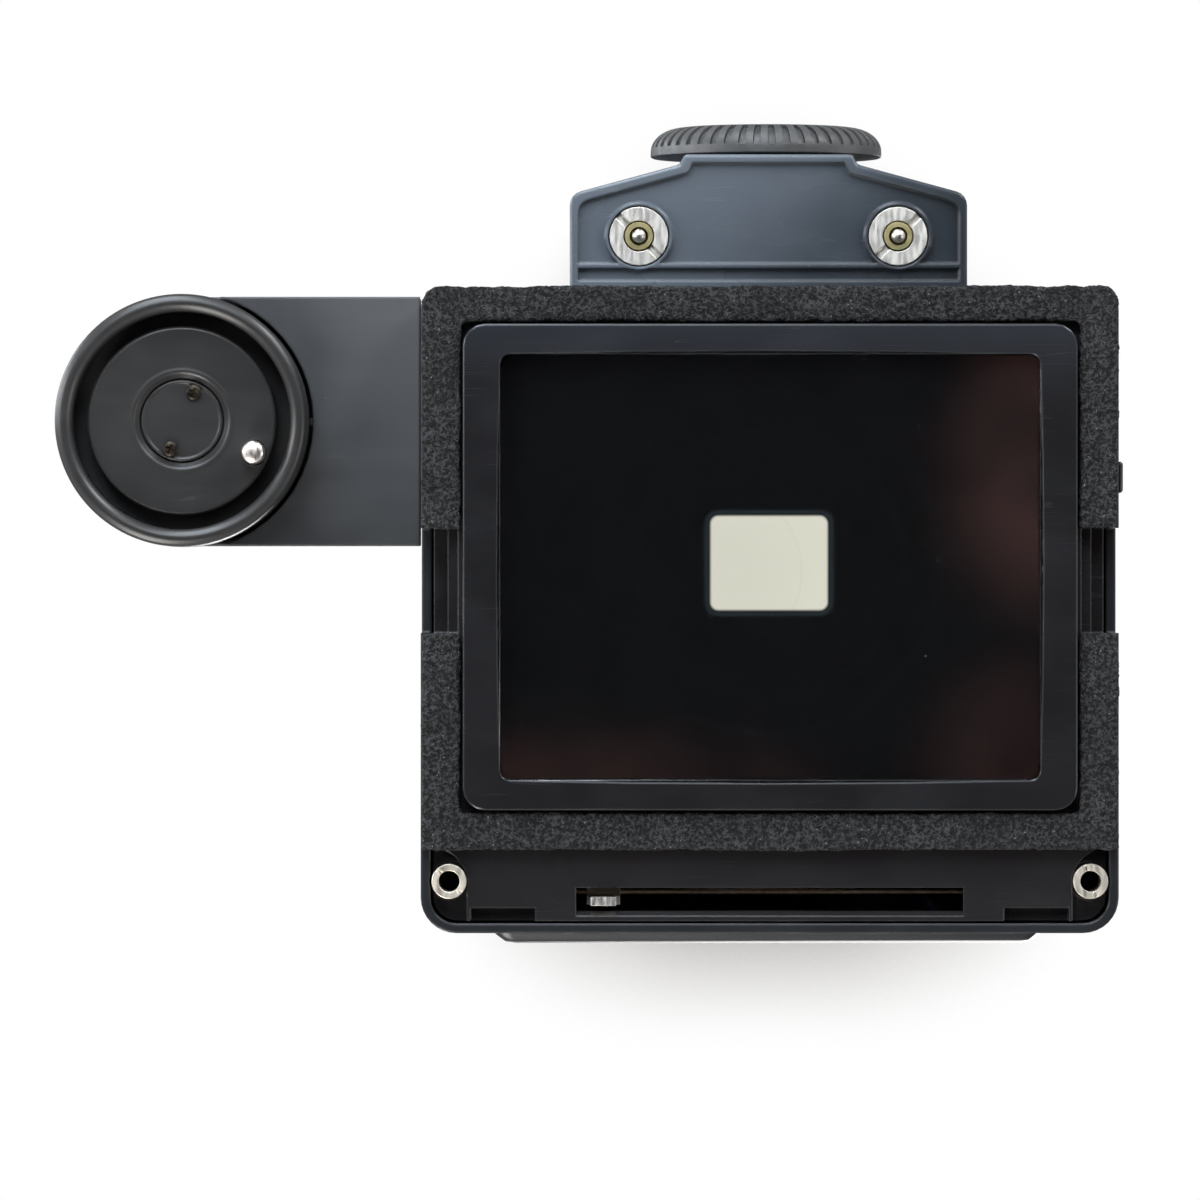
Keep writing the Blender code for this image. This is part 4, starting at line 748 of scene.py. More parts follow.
@dataclass
class Finishes:
    """Every finish on the finder, made once and handed out by name."""

    # Painted light: the ledge's enamel is lighter and bluer than the shell's, a painted reflection of the
    # cool light above it, and the ledge, bezel and arm each carry a painted sheen, lighter towards the rear.
    ledge: Paint = Paint("ledge_enamel", (0.0200, 0.0245, 0.0300), (0.0260, 0.0315, 0.0380), 0.22,
                         peel=1.1, peel_depth=0.0020, wear=0.10, soft=0.46, painted_sheen_from=(10.0, 50.0, 10.0),
                         painted_sheen_to=(-14.0, 30.0, 10.0), painted_sheen_colour=(0.098, 0.116, 0.138))
    shell: Paint = Paint("shell_enamel", (0.0085, 0.0095, 0.0115), (0.012, 0.0135, 0.016), 0.32,
                         spread=0.03, peel=0.7, peel_depth=0.0040, grit=0.0010, wear=0.45, soft=0.5)
    plate: Paint = Paint("plate_enamel", (0.0115, 0.0108, 0.0118), (0.0145, 0.0137, 0.0148), 0.20,
                         peel=0.8, peel_depth=0.0012, wear=0.25, soft=0.28)
    bezel: Paint = Paint("bezel_enamel", (0.0078, 0.0078, 0.0088), (0.0105, 0.0105, 0.0118), 0.20,
                         peel=0.9, peel_depth=0.0012, wear=0.35, soft=0.32, bare=(0.16, 0.115, 0.085),
                         painted_sheen_from=(0.0, 31.0, 0.0), painted_sheen_to=(0.0, 20.0, 0.0), painted_sheen_colour=(0.0165, 0.0185, 0.0225))
    arm: Paint = Paint("arm_enamel", (0.0180, 0.0190, 0.0210), (0.0220, 0.0235, 0.0260), 0.38,
                       peel=0.5, peel_depth=0.0014, grit=0.0006, wear=0.2, soft=0.45,
                       painted_sheen_from=(46.0, 34.0, 12.0), painted_sheen_to=(66.0, 6.0, 12.0), painted_sheen_colour=(0.062, 0.065, 0.070))
    drum: Paint = Paint("drum_black", (0.0190, 0.0188, 0.0186), (0.0250, 0.0246, 0.0242), 0.30,
                        peel=0.5, peel_depth=0.0010, grit=0.0005, wear=0.35)
    inside: Paint = Paint("inner_black", (0.010, 0.010, 0.010), (0.014, 0.014, 0.014), 0.55, wear=0.2)
    ring: Moulding = Moulding("ring_plastic", (0.060, 0.060, 0.059), (0.15, 0.15, 0.148), 0.46)
    knob: Moulding = Moulding("knob_plastic", (0.013, 0.013, 0.0135), (0.06, 0.06, 0.06), 0.36)
    nut: Metal = Metal("nickel_turned", (0.84, 0.81, 0.75), (0.70, 0.67, 0.60), 0.42,
                       turned_about=NUT_PLACE, mark_depth=0.0022)
    nickel: Metal = Metal("nickel", (0.72, 0.69, 0.63), (0.42, 0.38, 0.31), 0.26)
    pin: Metal = Metal("pin_silver", (0.88, 0.82, 0.76), (0.66, 0.55, 0.48), 0.30, mark_depth=0.002)
    steel: Metal = Metal("steel", (0.50, 0.49, 0.47), (0.25, 0.22, 0.19), 0.32)
    screw: Metal = Metal("blackened_screw", (0.030, 0.026, 0.021), (0.075, 0.060, 0.045), 0.36)
    bronze: Metal = Metal("bronze", (0.50, 0.36, 0.24), (0.22, 0.15, 0.10), 0.36, drawn=(0.05, 1.0, 1.0))
    disc: Metal = Metal("dial_aluminium", (0.50, 0.50, 0.49), (0.44, 0.435, 0.42), 0.36,
                        turned_about=DIAL_AXIS[:2], mark_depth=0.0015)
    brass: Metal = Metal("brass", (0.62, 0.46, 0.20), (0.35, 0.24, 0.10), 0.32)
    sleeve: Metal = Metal("sleeve_nickel", (0.74, 0.69, 0.60), (0.60, 0.54, 0.44), 0.42, mark_depth=0.0018)
    follower: Metal = Metal("follower_metal", (0.76, 0.74, 0.70), (0.55, 0.50, 0.44), 0.34,
                            second=(0.20, 0.17, 0.14), second_from=-40.55)
    foam: SealFoam = SealFoam()
    glass: Glass = Glass("window_glass", (0.93, 0.94, 0.95), 0.5)
    prism: Glass = Glass("prism_glass", (0.93, 0.95, 0.95), 0.1)
    lens: Glass = Glass("coated_lens", (0.93, 0.93, 0.96), 0.3, coat=(0.75, 0.70, 1.0))
    view: PaintedPrismView = PaintedPrismView()
    amber: Resin = Resin()
    board: Laminate = Laminate()
    cord: Thread = Thread()
    red: Inlay = Inlay("red_needle", (0.42, 0.035, 0.02))
    white: Inlay = Inlay("white_figures", (0.62, 0.62, 0.58))
    orange: Inlay = Inlay("orange_figures", (0.60, 0.17, 0.02))
    made: dict[str, bpy.types.Material] = field(default_factory=dict)

    def get(self, name: str) -> bpy.types.Material:
        """Hands out a finish, making it on first use.

        Args:
            name: The name of the field that holds it.

        Returns:
            The material.
        """
        if name not in self.made:
            self.made[name] = getattr(self, name).make()
        return self.made[name]


# ---------------------------------------------------------------- bench tools


def only(piece: Piece) -> None:
    """Selects one object and makes it the active one."""
    bpy.ops.object.select_all(action="DESELECT")
    piece.select_set(True)
    bpy.context.view_layer.objects.active = piece


@contextmanager
def edit(piece: Piece) -> Iterator[None]:
    """Holds one object alone in edit mode.

    Args:
        piece: The object to edit.
    """
    only(piece)
    bpy.ops.object.mode_set(mode="EDIT")
    yield
    bpy.ops.object.mode_set(mode="OBJECT")


def pick(piece: Piece, rule: Rule) -> None:
    """Selects in edit mode exactly the faces that a rule holds for.

    Args:
        piece: The object in edit mode.
        rule: Takes a face's middle and its normal.
    """
    bpy.ops.mesh.select_mode(type="FACE")
    bpy.ops.mesh.select_all(action="DESELECT")
    mesh = bmesh.from_edit_mesh(piece.data)
    for face in mesh.faces:
        if rule(face.calc_center_median(), face.normal):
            face.select_set(True)
    bmesh.update_edit_mesh(piece.data)


def pick_edges(piece: Piece, rule: Rule) -> None:
    """Selects in edit mode exactly the edges that a rule holds for.

    Args:
        piece: The object in edit mode.
        rule: Takes an edge's two ends.
    """
    bpy.ops.mesh.select_mode(type="EDGE")
    bpy.ops.mesh.select_all(action="DESELECT")
    mesh = bmesh.from_edit_mesh(piece.data)
    for edge in mesh.edges:
        if rule(edge.verts[0].co, edge.verts[1].co):
            edge.select_set(True)
    bmesh.update_edit_mesh(piece.data)


def apply_modifier(piece: Piece, kind: str, **settings: object) -> None:
    """Adds a modifier with these settings and applies it at once.

    Args:
        piece: The object that it changes.
        kind: The modifier's type.
        settings: Its properties.
    """
    only(piece)
    modifier = piece.modifiers.new(kind.lower(), kind)
    for name, value in settings.items():
        setattr(modifier, name, value)
    bpy.ops.object.modifier_apply(modifier=modifier.name)


def smooth(piece: Piece, angle: float = 32.0) -> None:
    """Shades a piece smooth, except over edges sharper than the angle in degrees."""
    only(piece)
    bpy.ops.object.shade_smooth_by_angle(angle=math.radians(angle))
    apply_modifier(piece, "WEIGHTED_NORMAL", keep_sharp=True, weight=60)


def settle(piece: Piece) -> None:
    """Puts a piece's place, turn and size into its mesh."""
    only(piece)
    bpy.ops.object.transform_apply(location=True, rotation=True, scale=True)


def arc(centre: tuple[float, float], radii: tuple[float, float], start: float, end: float,
        steps: int) -> list[tuple[float, float]]:
    """Points along part of an ellipse.

    Args:
        centre: Its middle.
        radii: Its two half widths.
        start: First angle in degrees.
        end: Last angle in degrees.
        steps: How many stretches it is cut into.

    Returns:
        The points, both ends included.
    """
    angles = [math.radians(start + (end - start) * i / steps) for i in range(steps + 1)]
    return [(centre[0] + radii[0] * math.cos(a), centre[1] + radii[1] * math.sin(a)) for a in angles]


def turn(name: str, profile: Sequence[tuple[float, float]], centre: Point, axis: Axis = Axis.Z,
         steps: int = 96) -> Piece:
    """Draws a profile point by point and spins it into a closed solid.

    Args:
        name: The piece's name.
        profile: Radius and height of each point, in millimetres; a ring's profile ends where it starts.
        centre: The point on the axis that heights are measured from, in millimetres.
        axis: The direction of the axis.
        steps: How many faces it has round it.

    Returns:
        The new piece.
    """
    across, _, along = axis.value
    points = [(Vector(centre) + across * radius + along * height) * MM for radius, height in profile]
    bpy.ops.object.select_all(action="DESELECT")
    bpy.ops.mesh.primitive_plane_add(size=MM)
    piece = bpy.context.object
    piece.name = piece.data.name = name
    with edit(piece):
        bpy.ops.mesh.select_mode(type="VERT")
        bpy.ops.mesh.select_all(action="SELECT")
        bpy.ops.mesh.merge(type="CENTER")
        bpy.ops.transform.translate(value=points[0])
        for last, following in zip(points, points[1:]):
            bpy.ops.mesh.extrude_vertices_move(TRANSFORM_OT_translate={"value": following - last})
        bpy.ops.mesh.select_all(action="SELECT")
        bpy.ops.mesh.spin(steps=steps, angle=math.tau, center=Vector(centre) * MM, axis=along)
        bpy.ops.mesh.select_all(action="SELECT")
        bpy.ops.mesh.remove_doubles(threshold=WELD)
        bpy.ops.mesh.normals_make_consistent(inside=False)
    return piece


def ribs(piece: Piece, count: int, share: float, lift: float, centre: Point, axis: Axis, where: Rule) -> None:
    """Raises evenly spaced ribs on a turned piece.

    Args:
        piece: The turned piece, whose faces round it are a multiple of the ribs.
        count: How many ribs.
        share: Share of the pitch that a rib takes.
        lift: Height of a rib in millimetres.
        centre: A point on the axis, in millimetres.
        axis: The direction of the axis.
        where: Says which faces may carry ribs.
    """
    across, aside, _ = axis.value

    def on_rib(middle: Vector, normal: Vector) -> bool:
        """Says whether a face lies on a rib."""
        out = middle - Vector(centre) * MM
        turn_part = math.atan2(out.dot(aside), out.dot(across)) / math.tau * count
        return turn_part % 1.0 < share and where(middle, normal)

    with edit(piece):
        pick(piece, on_rib)
        bpy.ops.mesh.inset(thickness=RIB_EDGE, depth=lift * MM, use_even_offset=True)


@dataclass
class Bench:
    """Holds the frame and the finishes while pieces are made and handed over."""

    frame: dict
    finishes: Finishes
    handed_over: list[str] = field(default_factory=list)

    def copy_of(self, node: str, name: str, bevel: float = 0.0, angle: float = 32.0) -> Piece:
        """Copies a node's mesh, welds it, eases its edges and shades it smooth.

        Args:
            node: The node that is copied.
            name: The new piece's name.
            bevel: Width of the eased edges in millimetres, or zero.
            angle: Edges sharper than this, in degrees, are eased, or stay sharp in the shading.

        Returns:
            The new piece.
        """
        mesh = self.frame["nodes"][node].data.copy()
        mesh.materials.clear()
        piece = bpy.data.objects.new(name, mesh)
        bpy.context.scene.collection.objects.link(piece)
        only(piece)
        bpy.ops.mesh.customdata_custom_splitnormals_clear()
        with edit(piece):
            bpy.ops.mesh.select_all(action="SELECT")
            bpy.ops.mesh.remove_doubles(threshold=WELD)
            bpy.ops.mesh.select_all(action="SELECT")
            bpy.ops.mesh.dissolve_limited(angle_limit=FLAT)
        if bevel:
            apply_modifier(piece, "BEVEL", width=bevel * MM, segments=3, limit_method="ANGLE",
                           angle_limit=math.radians(angle), harden_normals=False)
        smooth(piece, angle + 8.0)
        return piece

    def give(self, piece: Piece, body: str, slot: Slot, finish: str, nodes: Sequence[str] = ()) -> None:
        """Dresses a finished piece and hands it over to the body that carries it.

        Args:
            piece: The piece.
            body: The body it rides on.
            slot: The record's finish that it stands for; not used.
            finish: The name of its material among the finishes.
            nodes: The nodes that it stands for.
        """
        settle(piece)
        piece.data.materials.clear()
        piece.data.materials.append(self.finishes.get(finish))
        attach(piece, body)
        if nodes:
            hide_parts(*nodes)
        self.handed_over.append(piece.name)

    def spring(self, node: str, name: str, bodies: tuple[str, str], still: Vector, moved: Vector,
               cuts: int = 0) -> None:
        """Copies, fixed as it stands, a spring that on the finder gives way as the pin in front of it is
        pressed.

        Args:
            node: The spring's node.
            name: The new piece's name.
            bodies: The body that holds the spring and the pin's body; not used.
            still: The point where it stays with the first body, in metres; not used.
            moved: The point from which it goes with the pin, in metres; not used.
            cuts: How often its faces are divided.
        """
        piece = self.copy_of(node, name)
        if cuts:
            with edit(piece):
                bpy.ops.mesh.select_all(action="SELECT")
                bpy.ops.mesh.subdivide(number_cuts=cuts)
        settle(piece)
        piece.data.materials.append(self.finishes.get("steel"))
        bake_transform(piece)
        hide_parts(node)
        self.handed_over.append(piece.name)

    def dress(self, finish: str, *nodes: str) -> None:
        """Gives nodes that stay as they are a better material.

        Args:
            finish: The name of the material among the finishes.
            nodes: The nodes that get it.
        """
        for node in nodes:
            shown = self.frame["nodes"][node]
            shown.data.materials.clear()
            shown.data.materials.append(self.finishes.get(finish))
            self.handed_over.append(node)


# ---------------------------------------------------------------- sub-assemblies


@dataclass
class Casing:
    """The painted shells: cover, base plate, eyepiece housing, arm and window frame."""

    bench: Bench

    def build(self) -> None:
        """Makes every painted shell."""
        give = self.bench.give
        copy = self.bench.copy_of
        give(copy("top_cover", "cover_shell"), "housing", Slot.ENAMEL, "shell", ["top_cover"])
        plate = copy("base_plate", "base_casting")
        give(plate, "housing", Slot.SATIN, "plate", ["base_plate"])
        ledge = copy("eyepiece_housing", "eyepiece_casting")
        give(ledge, "housing", Slot.ENAMEL, "ledge", ["eyepiece_housing"])
        give(copy("arm_housing", "arm_shell"), "housing", Slot.ENAMEL, "shell", ["arm_housing"])
        floor = copy("arm_bottom_plate", "arm_floor")
        give(floor, "housing", Slot.SATIN, "arm", ["arm_bottom_plate"])
        bezel = copy("window_frame", "window_bezel", bevel=0.12)
        give(bezel, "housing", Slot.SATIN, "bezel", ["window_frame"])
        self.bench.dress("inside", "prism_cradle", "eyepiece_mask")


@dataclass
class Seals:
    """The two foam seals round the window."""

    bench: Bench
    voxel: float = 0.30
    fuzz: float = 0.60
    pore: float = 0.9
    waver: float = 0.5
    waver_length: float = 6.0

    def texture(self, name: str, size: float) -> bpy.types.Texture:
        """Makes the lumpy pattern that roughens the foam.

        Args:
            name: The pattern's name.
            size: Size of its lumps in millimetres.

        Returns:
            The texture.
        """
        lumps = bpy.data.textures.new(name, "CLOUDS")
        lumps.noise_scale = size * MM
        lumps.noise_depth = 3
        return lumps

    def build(self) -> None:
        """Makes both seals with a torn, porous skin."""
        lumps = self.texture("foam_lumps", self.pore)
        waves = self.texture("hand_cut_edge", self.waver_length)
        for node, name in (("foam_seal_front", "front_foam"), ("foam_seal_rear", "rear_foam")):
            foam = self.bench.copy_of(node, name)
            apply_modifier(foam, "REMESH", mode="VOXEL", voxel_size=self.voxel * MM)
            apply_modifier(foam, "DISPLACE", texture=waves, strength=self.waver * MM, mid_level=0.5,
                           texture_coords="GLOBAL")
            apply_modifier(foam, "DISPLACE", texture=lumps, strength=self.fuzz * MM, mid_level=0.55,
                           texture_coords="GLOBAL")
            only(foam)
            bpy.ops.object.shade_smooth()
            self.bench.give(foam, "housing", Slot.FOAM, "foam", [node])


@dataclass
class Optics:
    """The window, a card behind it with the view painted on in light and shade, and the eyepiece lenses."""

    bench: Bench
    glass_edge: float = 0.25
    glass_corner: float = 1.2
    card_low: float = 1.78
    card_high: float = 1.90
    card_size: tuple[float, float] = (66.0, 52.0)
    card_corner: float = 2.0

    def build(self) -> None:
        """Makes the window glass and the view card, and dresses the rest."""
        self.window()
        self.card()
        self.bench.dress("prism", "pentaprism")
        self.bench.dress("lens", "eyepiece_lens_front", "eyepiece_lens_rear")

    def window(self) -> None:
        """Cuts the window glass with rounded corners and a ground edge."""
        low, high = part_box("window_glass")
        bpy.ops.object.select_all(action="DESELECT")
        bpy.ops.mesh.primitive_cube_add(size=1.0, location=(low + high) / 2, scale=high - low)
        glass = bpy.context.object
        glass.name = glass.data.name = "focusing_window"
        settle(glass)
        with edit(glass):
            pick_edges(glass, lambda a, b: abs(a.z - b.z) > 0.5 * MM)
            bpy.ops.mesh.bevel(offset=self.glass_corner * MM, segments=6, affect="EDGES")
            pick_edges(glass, lambda a, b: abs(a.z - b.z) < WELD)
            bpy.ops.mesh.bevel(offset=self.glass_edge * MM, segments=2, affect="EDGES")
        smooth(glass)
        self.bench.give(glass, "housing", Slot.GLASS, "glass", ["window_glass"])

    def card(self) -> None:
        """Sets a thin black card just above the window, with the eyepiece field painted on it as glowing
        light.
        """
        low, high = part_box("window_glass")
        middle = (low + high) / 2
        wide, deep = self.card_size
        bpy.ops.object.select_all(action="DESELECT")
        bpy.ops.mesh.primitive_cube_add(
            size=1.0,
            location=(middle.x, middle.y, (self.card_low + self.card_high) / 2 * MM),
            scale=(wide * MM, deep * MM, (self.card_high - self.card_low) * MM),
        )
        card = bpy.context.object
        # The card is dark with painted shade and glows with painted light.
        card.name = card.data.name = "painted_eyepiece_light_card"
        settle(card)
        with edit(card):
            pick_edges(card, lambda a, b: abs(a.z - b.z) > 0.05 * MM)
            bpy.ops.mesh.bevel(offset=self.card_corner * MM, segments=5, affect="EDGES")
        self.bench.give(card, "housing", Slot.SATIN, "view")


@dataclass
class Eyepiece:
    """The ribbed ring round the eyepiece and its threaded barrel."""

    bench: Bench
    centre: Point = (0.0, 0.0, 27.0)
    flare: float = 14.5
    crown: float = 10.6
    bore: float = 10.0
    flange: float = 52.15
    rear: float = 55.2
    lip: float = 7.7
    rib_count: int = 48
    rib_faces: int = 6
    groove_share: float = 0.5
    groove_depth: float = 0.5

    def build(self) -> None:
        """Turns and ribs the ring, then dresses the barrel."""
        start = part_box("eyepiece_ring")[0].y / MM
        flank_low = self.flange + 0.1
        crown = arc((self.crown, flank_low), (self.flare - self.crown, self.rear - flank_low), 8.0, 84.0, 9)
        profile = [
            (self.lip + 1.9, start),
            (self.flare - 0.25, start),
            (self.flare, start + 0.15),
            (self.flare, self.flange - 0.1),
            *crown,
            (self.bore + 0.25, self.rear),
            (self.bore, self.rear - 0.2),
            (self.bore - 0.3, self.rear - 0.9),
            (self.lip + 0.2, self.rear - 1.1),
            (self.lip, self.rear - 1.3),
            (self.lip, self.rear - 2.0),
            (self.lip + 1.9, self.rear - 2.0),
            (self.lip + 1.9, start),
        ]
        made = turn("eyecup_ring", profile, self.centre, Axis.Y, steps=self.rib_count * self.rib_faces)

        def flank(middle: Vector, normal: Vector) -> bool:
            """Says whether a face lies on the rounded flank."""
            outward = Vector((middle.x, 0, middle.z - self.centre[2] * MM))
            beyond = outward.length > (self.crown + 0.1) * MM and middle.y > (flank_low + 0.3) * MM
            return beyond and normal.dot(outward) > 0.0

        ribs(made, self.rib_count, self.groove_share, -self.groove_depth, self.centre, Axis.Y, flank)
        smooth(made, 38.0)
        self.bench.give(made, "eyepiece_ring", Slot.MOULDED, "ring", ["eyepiece_ring"])
        barrel = self.bench.copy_of("eyepiece_barrel", "eyepiece_tube", bevel=0.1)
        self.bench.give(barrel, "housing", Slot.SATIN, "inside", ["eyepiece_barrel"])


@dataclass
class Contacts:
    """The two spring contacts under the ledge."""

    bench: Bench
    pin_radius: float = 0.85
    shank: float = 2.4

    def build(self) -> None:
        """Makes both contacts in finer form."""
        for hand in ("left", "right"):
            nut = self.bench.copy_of(f"contact_nut_{hand}", f"ring_nut_{hand}", bevel=0.12, angle=34.0)
            self.bench.give(nut, "housing", Slot.NICKEL, "nut", [f"contact_nut_{hand}"])
            node = f"contact_insulator_{hand}"
            bush = self.bench.copy_of(node, f"contact_bush_{hand}", bevel=0.06, angle=34.0)
            self.bench.give(bush, "housing", Slot.AMBER, "amber", [node])
            self.pin(hand)
            self.coil(hand)

    def coil(self, hand: str) -> None:
        """Makes the coil over one contact pin, which the pin's foot squeezes.

        Args:
            hand: The side it is on, left or right.
        """
        node = f"contact_spring_{hand}"
        low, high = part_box(node)
        foot = Vector(((low.x + high.x) / 2, (low.y + high.y) / 2, low.z))
        head = Vector((foot.x, foot.y, high.z))
        self.bench.spring(node, f"contact_coil_{hand}", ("housing", f"contact_pin_{hand}"), head, foot)

    def pin(self, hand: str) -> None:
        """Turns one contact pin with a domed tip, a neck and a foot.

        Args:
            hand: The side it is on, left or right.
        """
        node = f"contact_pin_{hand}"
        low, high = (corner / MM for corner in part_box(node))
        middle = (low + high) / 2
        foot = (high.x - low.x) / 2
        radius = self.pin_radius
        shank = high.z - self.shank
        dome = arc((0.0, low.z + radius * 0.8), (radius, radius * 0.8), -90.0, 0.0, 7)
        profile = [
            *dome,
            (radius, shank),
            (foot - 0.15, shank),
            (foot, shank + 0.15),
            (foot, high.z - 0.15),
            (foot - 0.15, high.z),
            (0.0, high.z),
        ]
        made = turn(f"spring_contact_{hand}", profile, (middle.x, middle.y, 0.0), steps=40)
        smooth(made)
        self.bench.give(made, f"contact_pin_{hand}", Slot.NICKEL, "nickel", [node])


@dataclass
class Coupling:
    """The drum under the speed dial: its skirt, disc, hub, screws and driving pin."""

    bench: Bench
    centre: Point = DIAL_AXIS
    bore: float = 13.45
    radius: float = 15.6
    low: float = 4.5
    high: float = 12.9
    ceiling: float = 11.0
    hole: float = 3.2
    recess: float = 8.3
    rolled: float = 0.45
    running: float = 0.15
    screw_bore: float = 0.7
    through: float = 6.0
    disc_reach: float = 2.1
    driver_bars: tuple[float, float] = (25.0, 115.0)
    leaf_cuts: int = 12

    def build(self) -> None:
        """Makes every piece that shows in the drum."""
        self.skirt()
        self.disc()
        self.hub()
        for number in (1, 2):
            self.screw(number)
        self.pin()
        self.leaf()
        self.bench.dress("steel", "dial_shaft", "shaft_bush")

    def leaf(self) -> None:
        """Makes the leaf spring, held at the shaft and lifted by the driving pin."""
        low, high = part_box("pin_leaf_spring")
        root = Vector((high.x, low.y, low.z))
        over_pin = Vector((low.x + (high.y - low.y), low.y, low.z))
        bodies = ("dial", "coupling_pin")
        self.bench.spring("pin_leaf_spring", "pin_leaf", bodies, root, over_pin, cuts=self.leaf_cuts)

    def disc(self) -> None:
        """Turns the coupling disc, with a rolled edge and a rounded step down to the hub."""
        low, high = (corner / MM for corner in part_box("coupling_disc"))
        radius = (high.x - low.x) / 2
        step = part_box("hub_plate")[0].z / MM
        hub = (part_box("hub_plate")[1].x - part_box("hub_plate")[0].x) / 2 / MM + self.running
        face = low.z + 0.07
        profile = [
            (0.0, high.z),
            (radius - 0.2, high.z),
            (radius, high.z - 0.2),
            (radius, face + self.rolled),
            *arc((radius - self.rolled, face + self.rolled), (self.rolled, self.rolled), -15.0, -90.0, 5),
            (hub + 1.45, face),
            *arc((hub + 0.95, low.z + 0.35), (0.5, 0.35), -60.0, -170.0, 6),
            (hub + 0.1, step - 0.1),
            (hub, step + 0.1),
            (hub, self.recess),
            (0.0, self.recess),
        ]
        made = turn("drive_disc", profile, self.centre)
        smooth(made, 40.0)
        pin_low, pin_high = (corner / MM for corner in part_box("coupling_pin"))
        middle = (pin_low + pin_high) / 2
        pin_bore = (pin_high.x - pin_low.x) / 2 + self.running
        self.bore_through(made, (middle.x, middle.y, low.z), pin_bore, self.through)
        for place in self.screw_places():
            self.bore_through(made, place, self.screw_bore, self.disc_reach)
        self.bench.give(made, "dial", Slot.SATIN, "drum", ["coupling_disc"])

    def hub(self) -> None:
        """Turns the hub's cap with its raised, rounded rim."""
        low, high = (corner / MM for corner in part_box("hub_plate"))
        radius = (high.x - low.x) / 2
        profile = [
            (0.0, high.z),
            (radius, high.z),
            (radius, low.z + 0.2),
            *arc((radius - 0.25, low.z + 0.2), (0.25, 0.2), -20.0, -160.0, 6),
            (radius - 0.6, low.z + 0.1),
            (0.0, low.z + 0.1),
        ]
        made = turn("hub_cap", profile, self.centre)
        smooth(made, 40.0)
        for place in self.screw_places():
            self.bore_through(made, place, self.screw_bore, self.through)
        self.bench.give(made, "dial", Slot.SATIN, "drum", ["hub_plate"])

    def screw_places(self) -> list[Point]:
        """Finds where both hub screws stand, in millimetres."""
        boxes = [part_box(f"hub_screw_{number}") for number in (1, 2)]
        return [tuple(((low + high) / 2).xy / MM) + (low.z / MM,) for low, high in boxes]

    def bore_through(self, piece: Piece, place: Point, radius: float, reach: float) -> None:
        """Bores an upright hole.

        Args:
            piece: The piece.
            place: The middle of the bore, in millimetres.
            radius: Its radius in millimetres.
            reach: How far it goes above and below that place, in millimetres.
        """
        bpy.ops.object.select_all(action="DESELECT")
        bpy.ops.mesh.primitive_cylinder_add(vertices=48, radius=radius * MM, depth=2 * reach * MM,
                                            location=Vector(place) * MM)
        cutter = bpy.context.object
        apply_modifier(piece, "BOOLEAN", object=cutter, operation="DIFFERENCE", solver="EXACT")
        bpy.data.objects.remove(cutter)

    def skirt(self) -> None:
        """Turns the skirt with its rounded lip."""
        middle = (self.bore + self.radius) / 2
        half = (self.radius - self.bore) / 2
        lip = arc((middle, self.low + half), (half, half), 180.0, 360.0, 14)
        profile = [
            (self.bore, self.ceiling),
            *lip,
            (self.radius, self.high),
            (self.hole, self.high),
            (self.hole, self.ceiling),
            (self.bore, self.ceiling),
        ]
        made = turn("drum_wall", profile, self.centre, steps=128)
        smooth(made)
        self.bench.give(made, "housing", Slot.SATIN, "drum", ["drum_skirt"])

    def screw(self, number: int) -> None:
        """Shapes a small cross-headed screw.

        Args:
            number: Which of the two it is.
        """
        node = f"hub_screw_{number}"
        low, high = (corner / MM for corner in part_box(node))
        x, y = (low.x + high.x) / 2, (low.y + high.y) / 2
        radius = (high.x - low.x) / 2
        head = [
            *arc((0.0, low.z + 0.22), (radius, 0.22), -90.0, 0.0, 5),
            (radius, low.z + 0.4),
            (0.5, low.z + 0.4),
            (0.5, high.z),
            (0.0, high.z),
        ]
        made = turn(f"cross_screw_{number}", head, (x, y, 0.0), steps=48)
        for angle in self.driver_bars:
            self.cross_cut(made, (x, y, low.z), angle, radius)
        smooth(made, 40.0)
        self.bench.give(made, "dial", Slot.STEEL, "screw", [node])

    def cross_cut(self, screw: Piece, tip: Point, angle: float, radius: float) -> None:
        """Cuts one bar of the driver's cross into a screw's head.

        Args:
            screw: The screw.
            tip: The lowest point of its head, in millimetres.
            angle: Direction of the bar in degrees.
            radius: Radius of the head in millimetres.
        """
        bpy.ops.object.select_all(action="DESELECT")
        bpy.ops.mesh.primitive_cube_add(
            size=1.0,
            location=Vector(tip) * MM,
            rotation=(0, 0, math.radians(angle)),
            scale=(radius * 1.25 * MM, radius * 0.3 * MM, 0.5 * MM),
        )
        cutter = bpy.context.object
        apply_modifier(screw, "BOOLEAN", object=cutter, operation="DIFFERENCE", solver="EXACT")
        bpy.data.objects.remove(cutter)

    def pin(self) -> None:
        """Turns the driving pin, bright and slightly domed."""
        low, high = (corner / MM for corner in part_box("coupling_pin"))
        x, y = (low.x + high.x) / 2, (low.y + high.y) / 2
        radius = (high.x - low.x) / 2
        profile = [
            *arc((0.0, low.z + 0.45), (radius - 0.12, 0.45), -90.0, -8.0, 8),
            (radius, low.z + 0.75),
            (radius, high.z - 0.1),
            (radius - 0.1, high.z),
            (0.0, high.z),
        ]
        made = turn("drive_pin", profile, (x, y, 0.0), steps=48)
        smooth(made)
        self.bench.give(made, "coupling_pin", Slot.NICKEL, "pin", ["coupling_pin"])


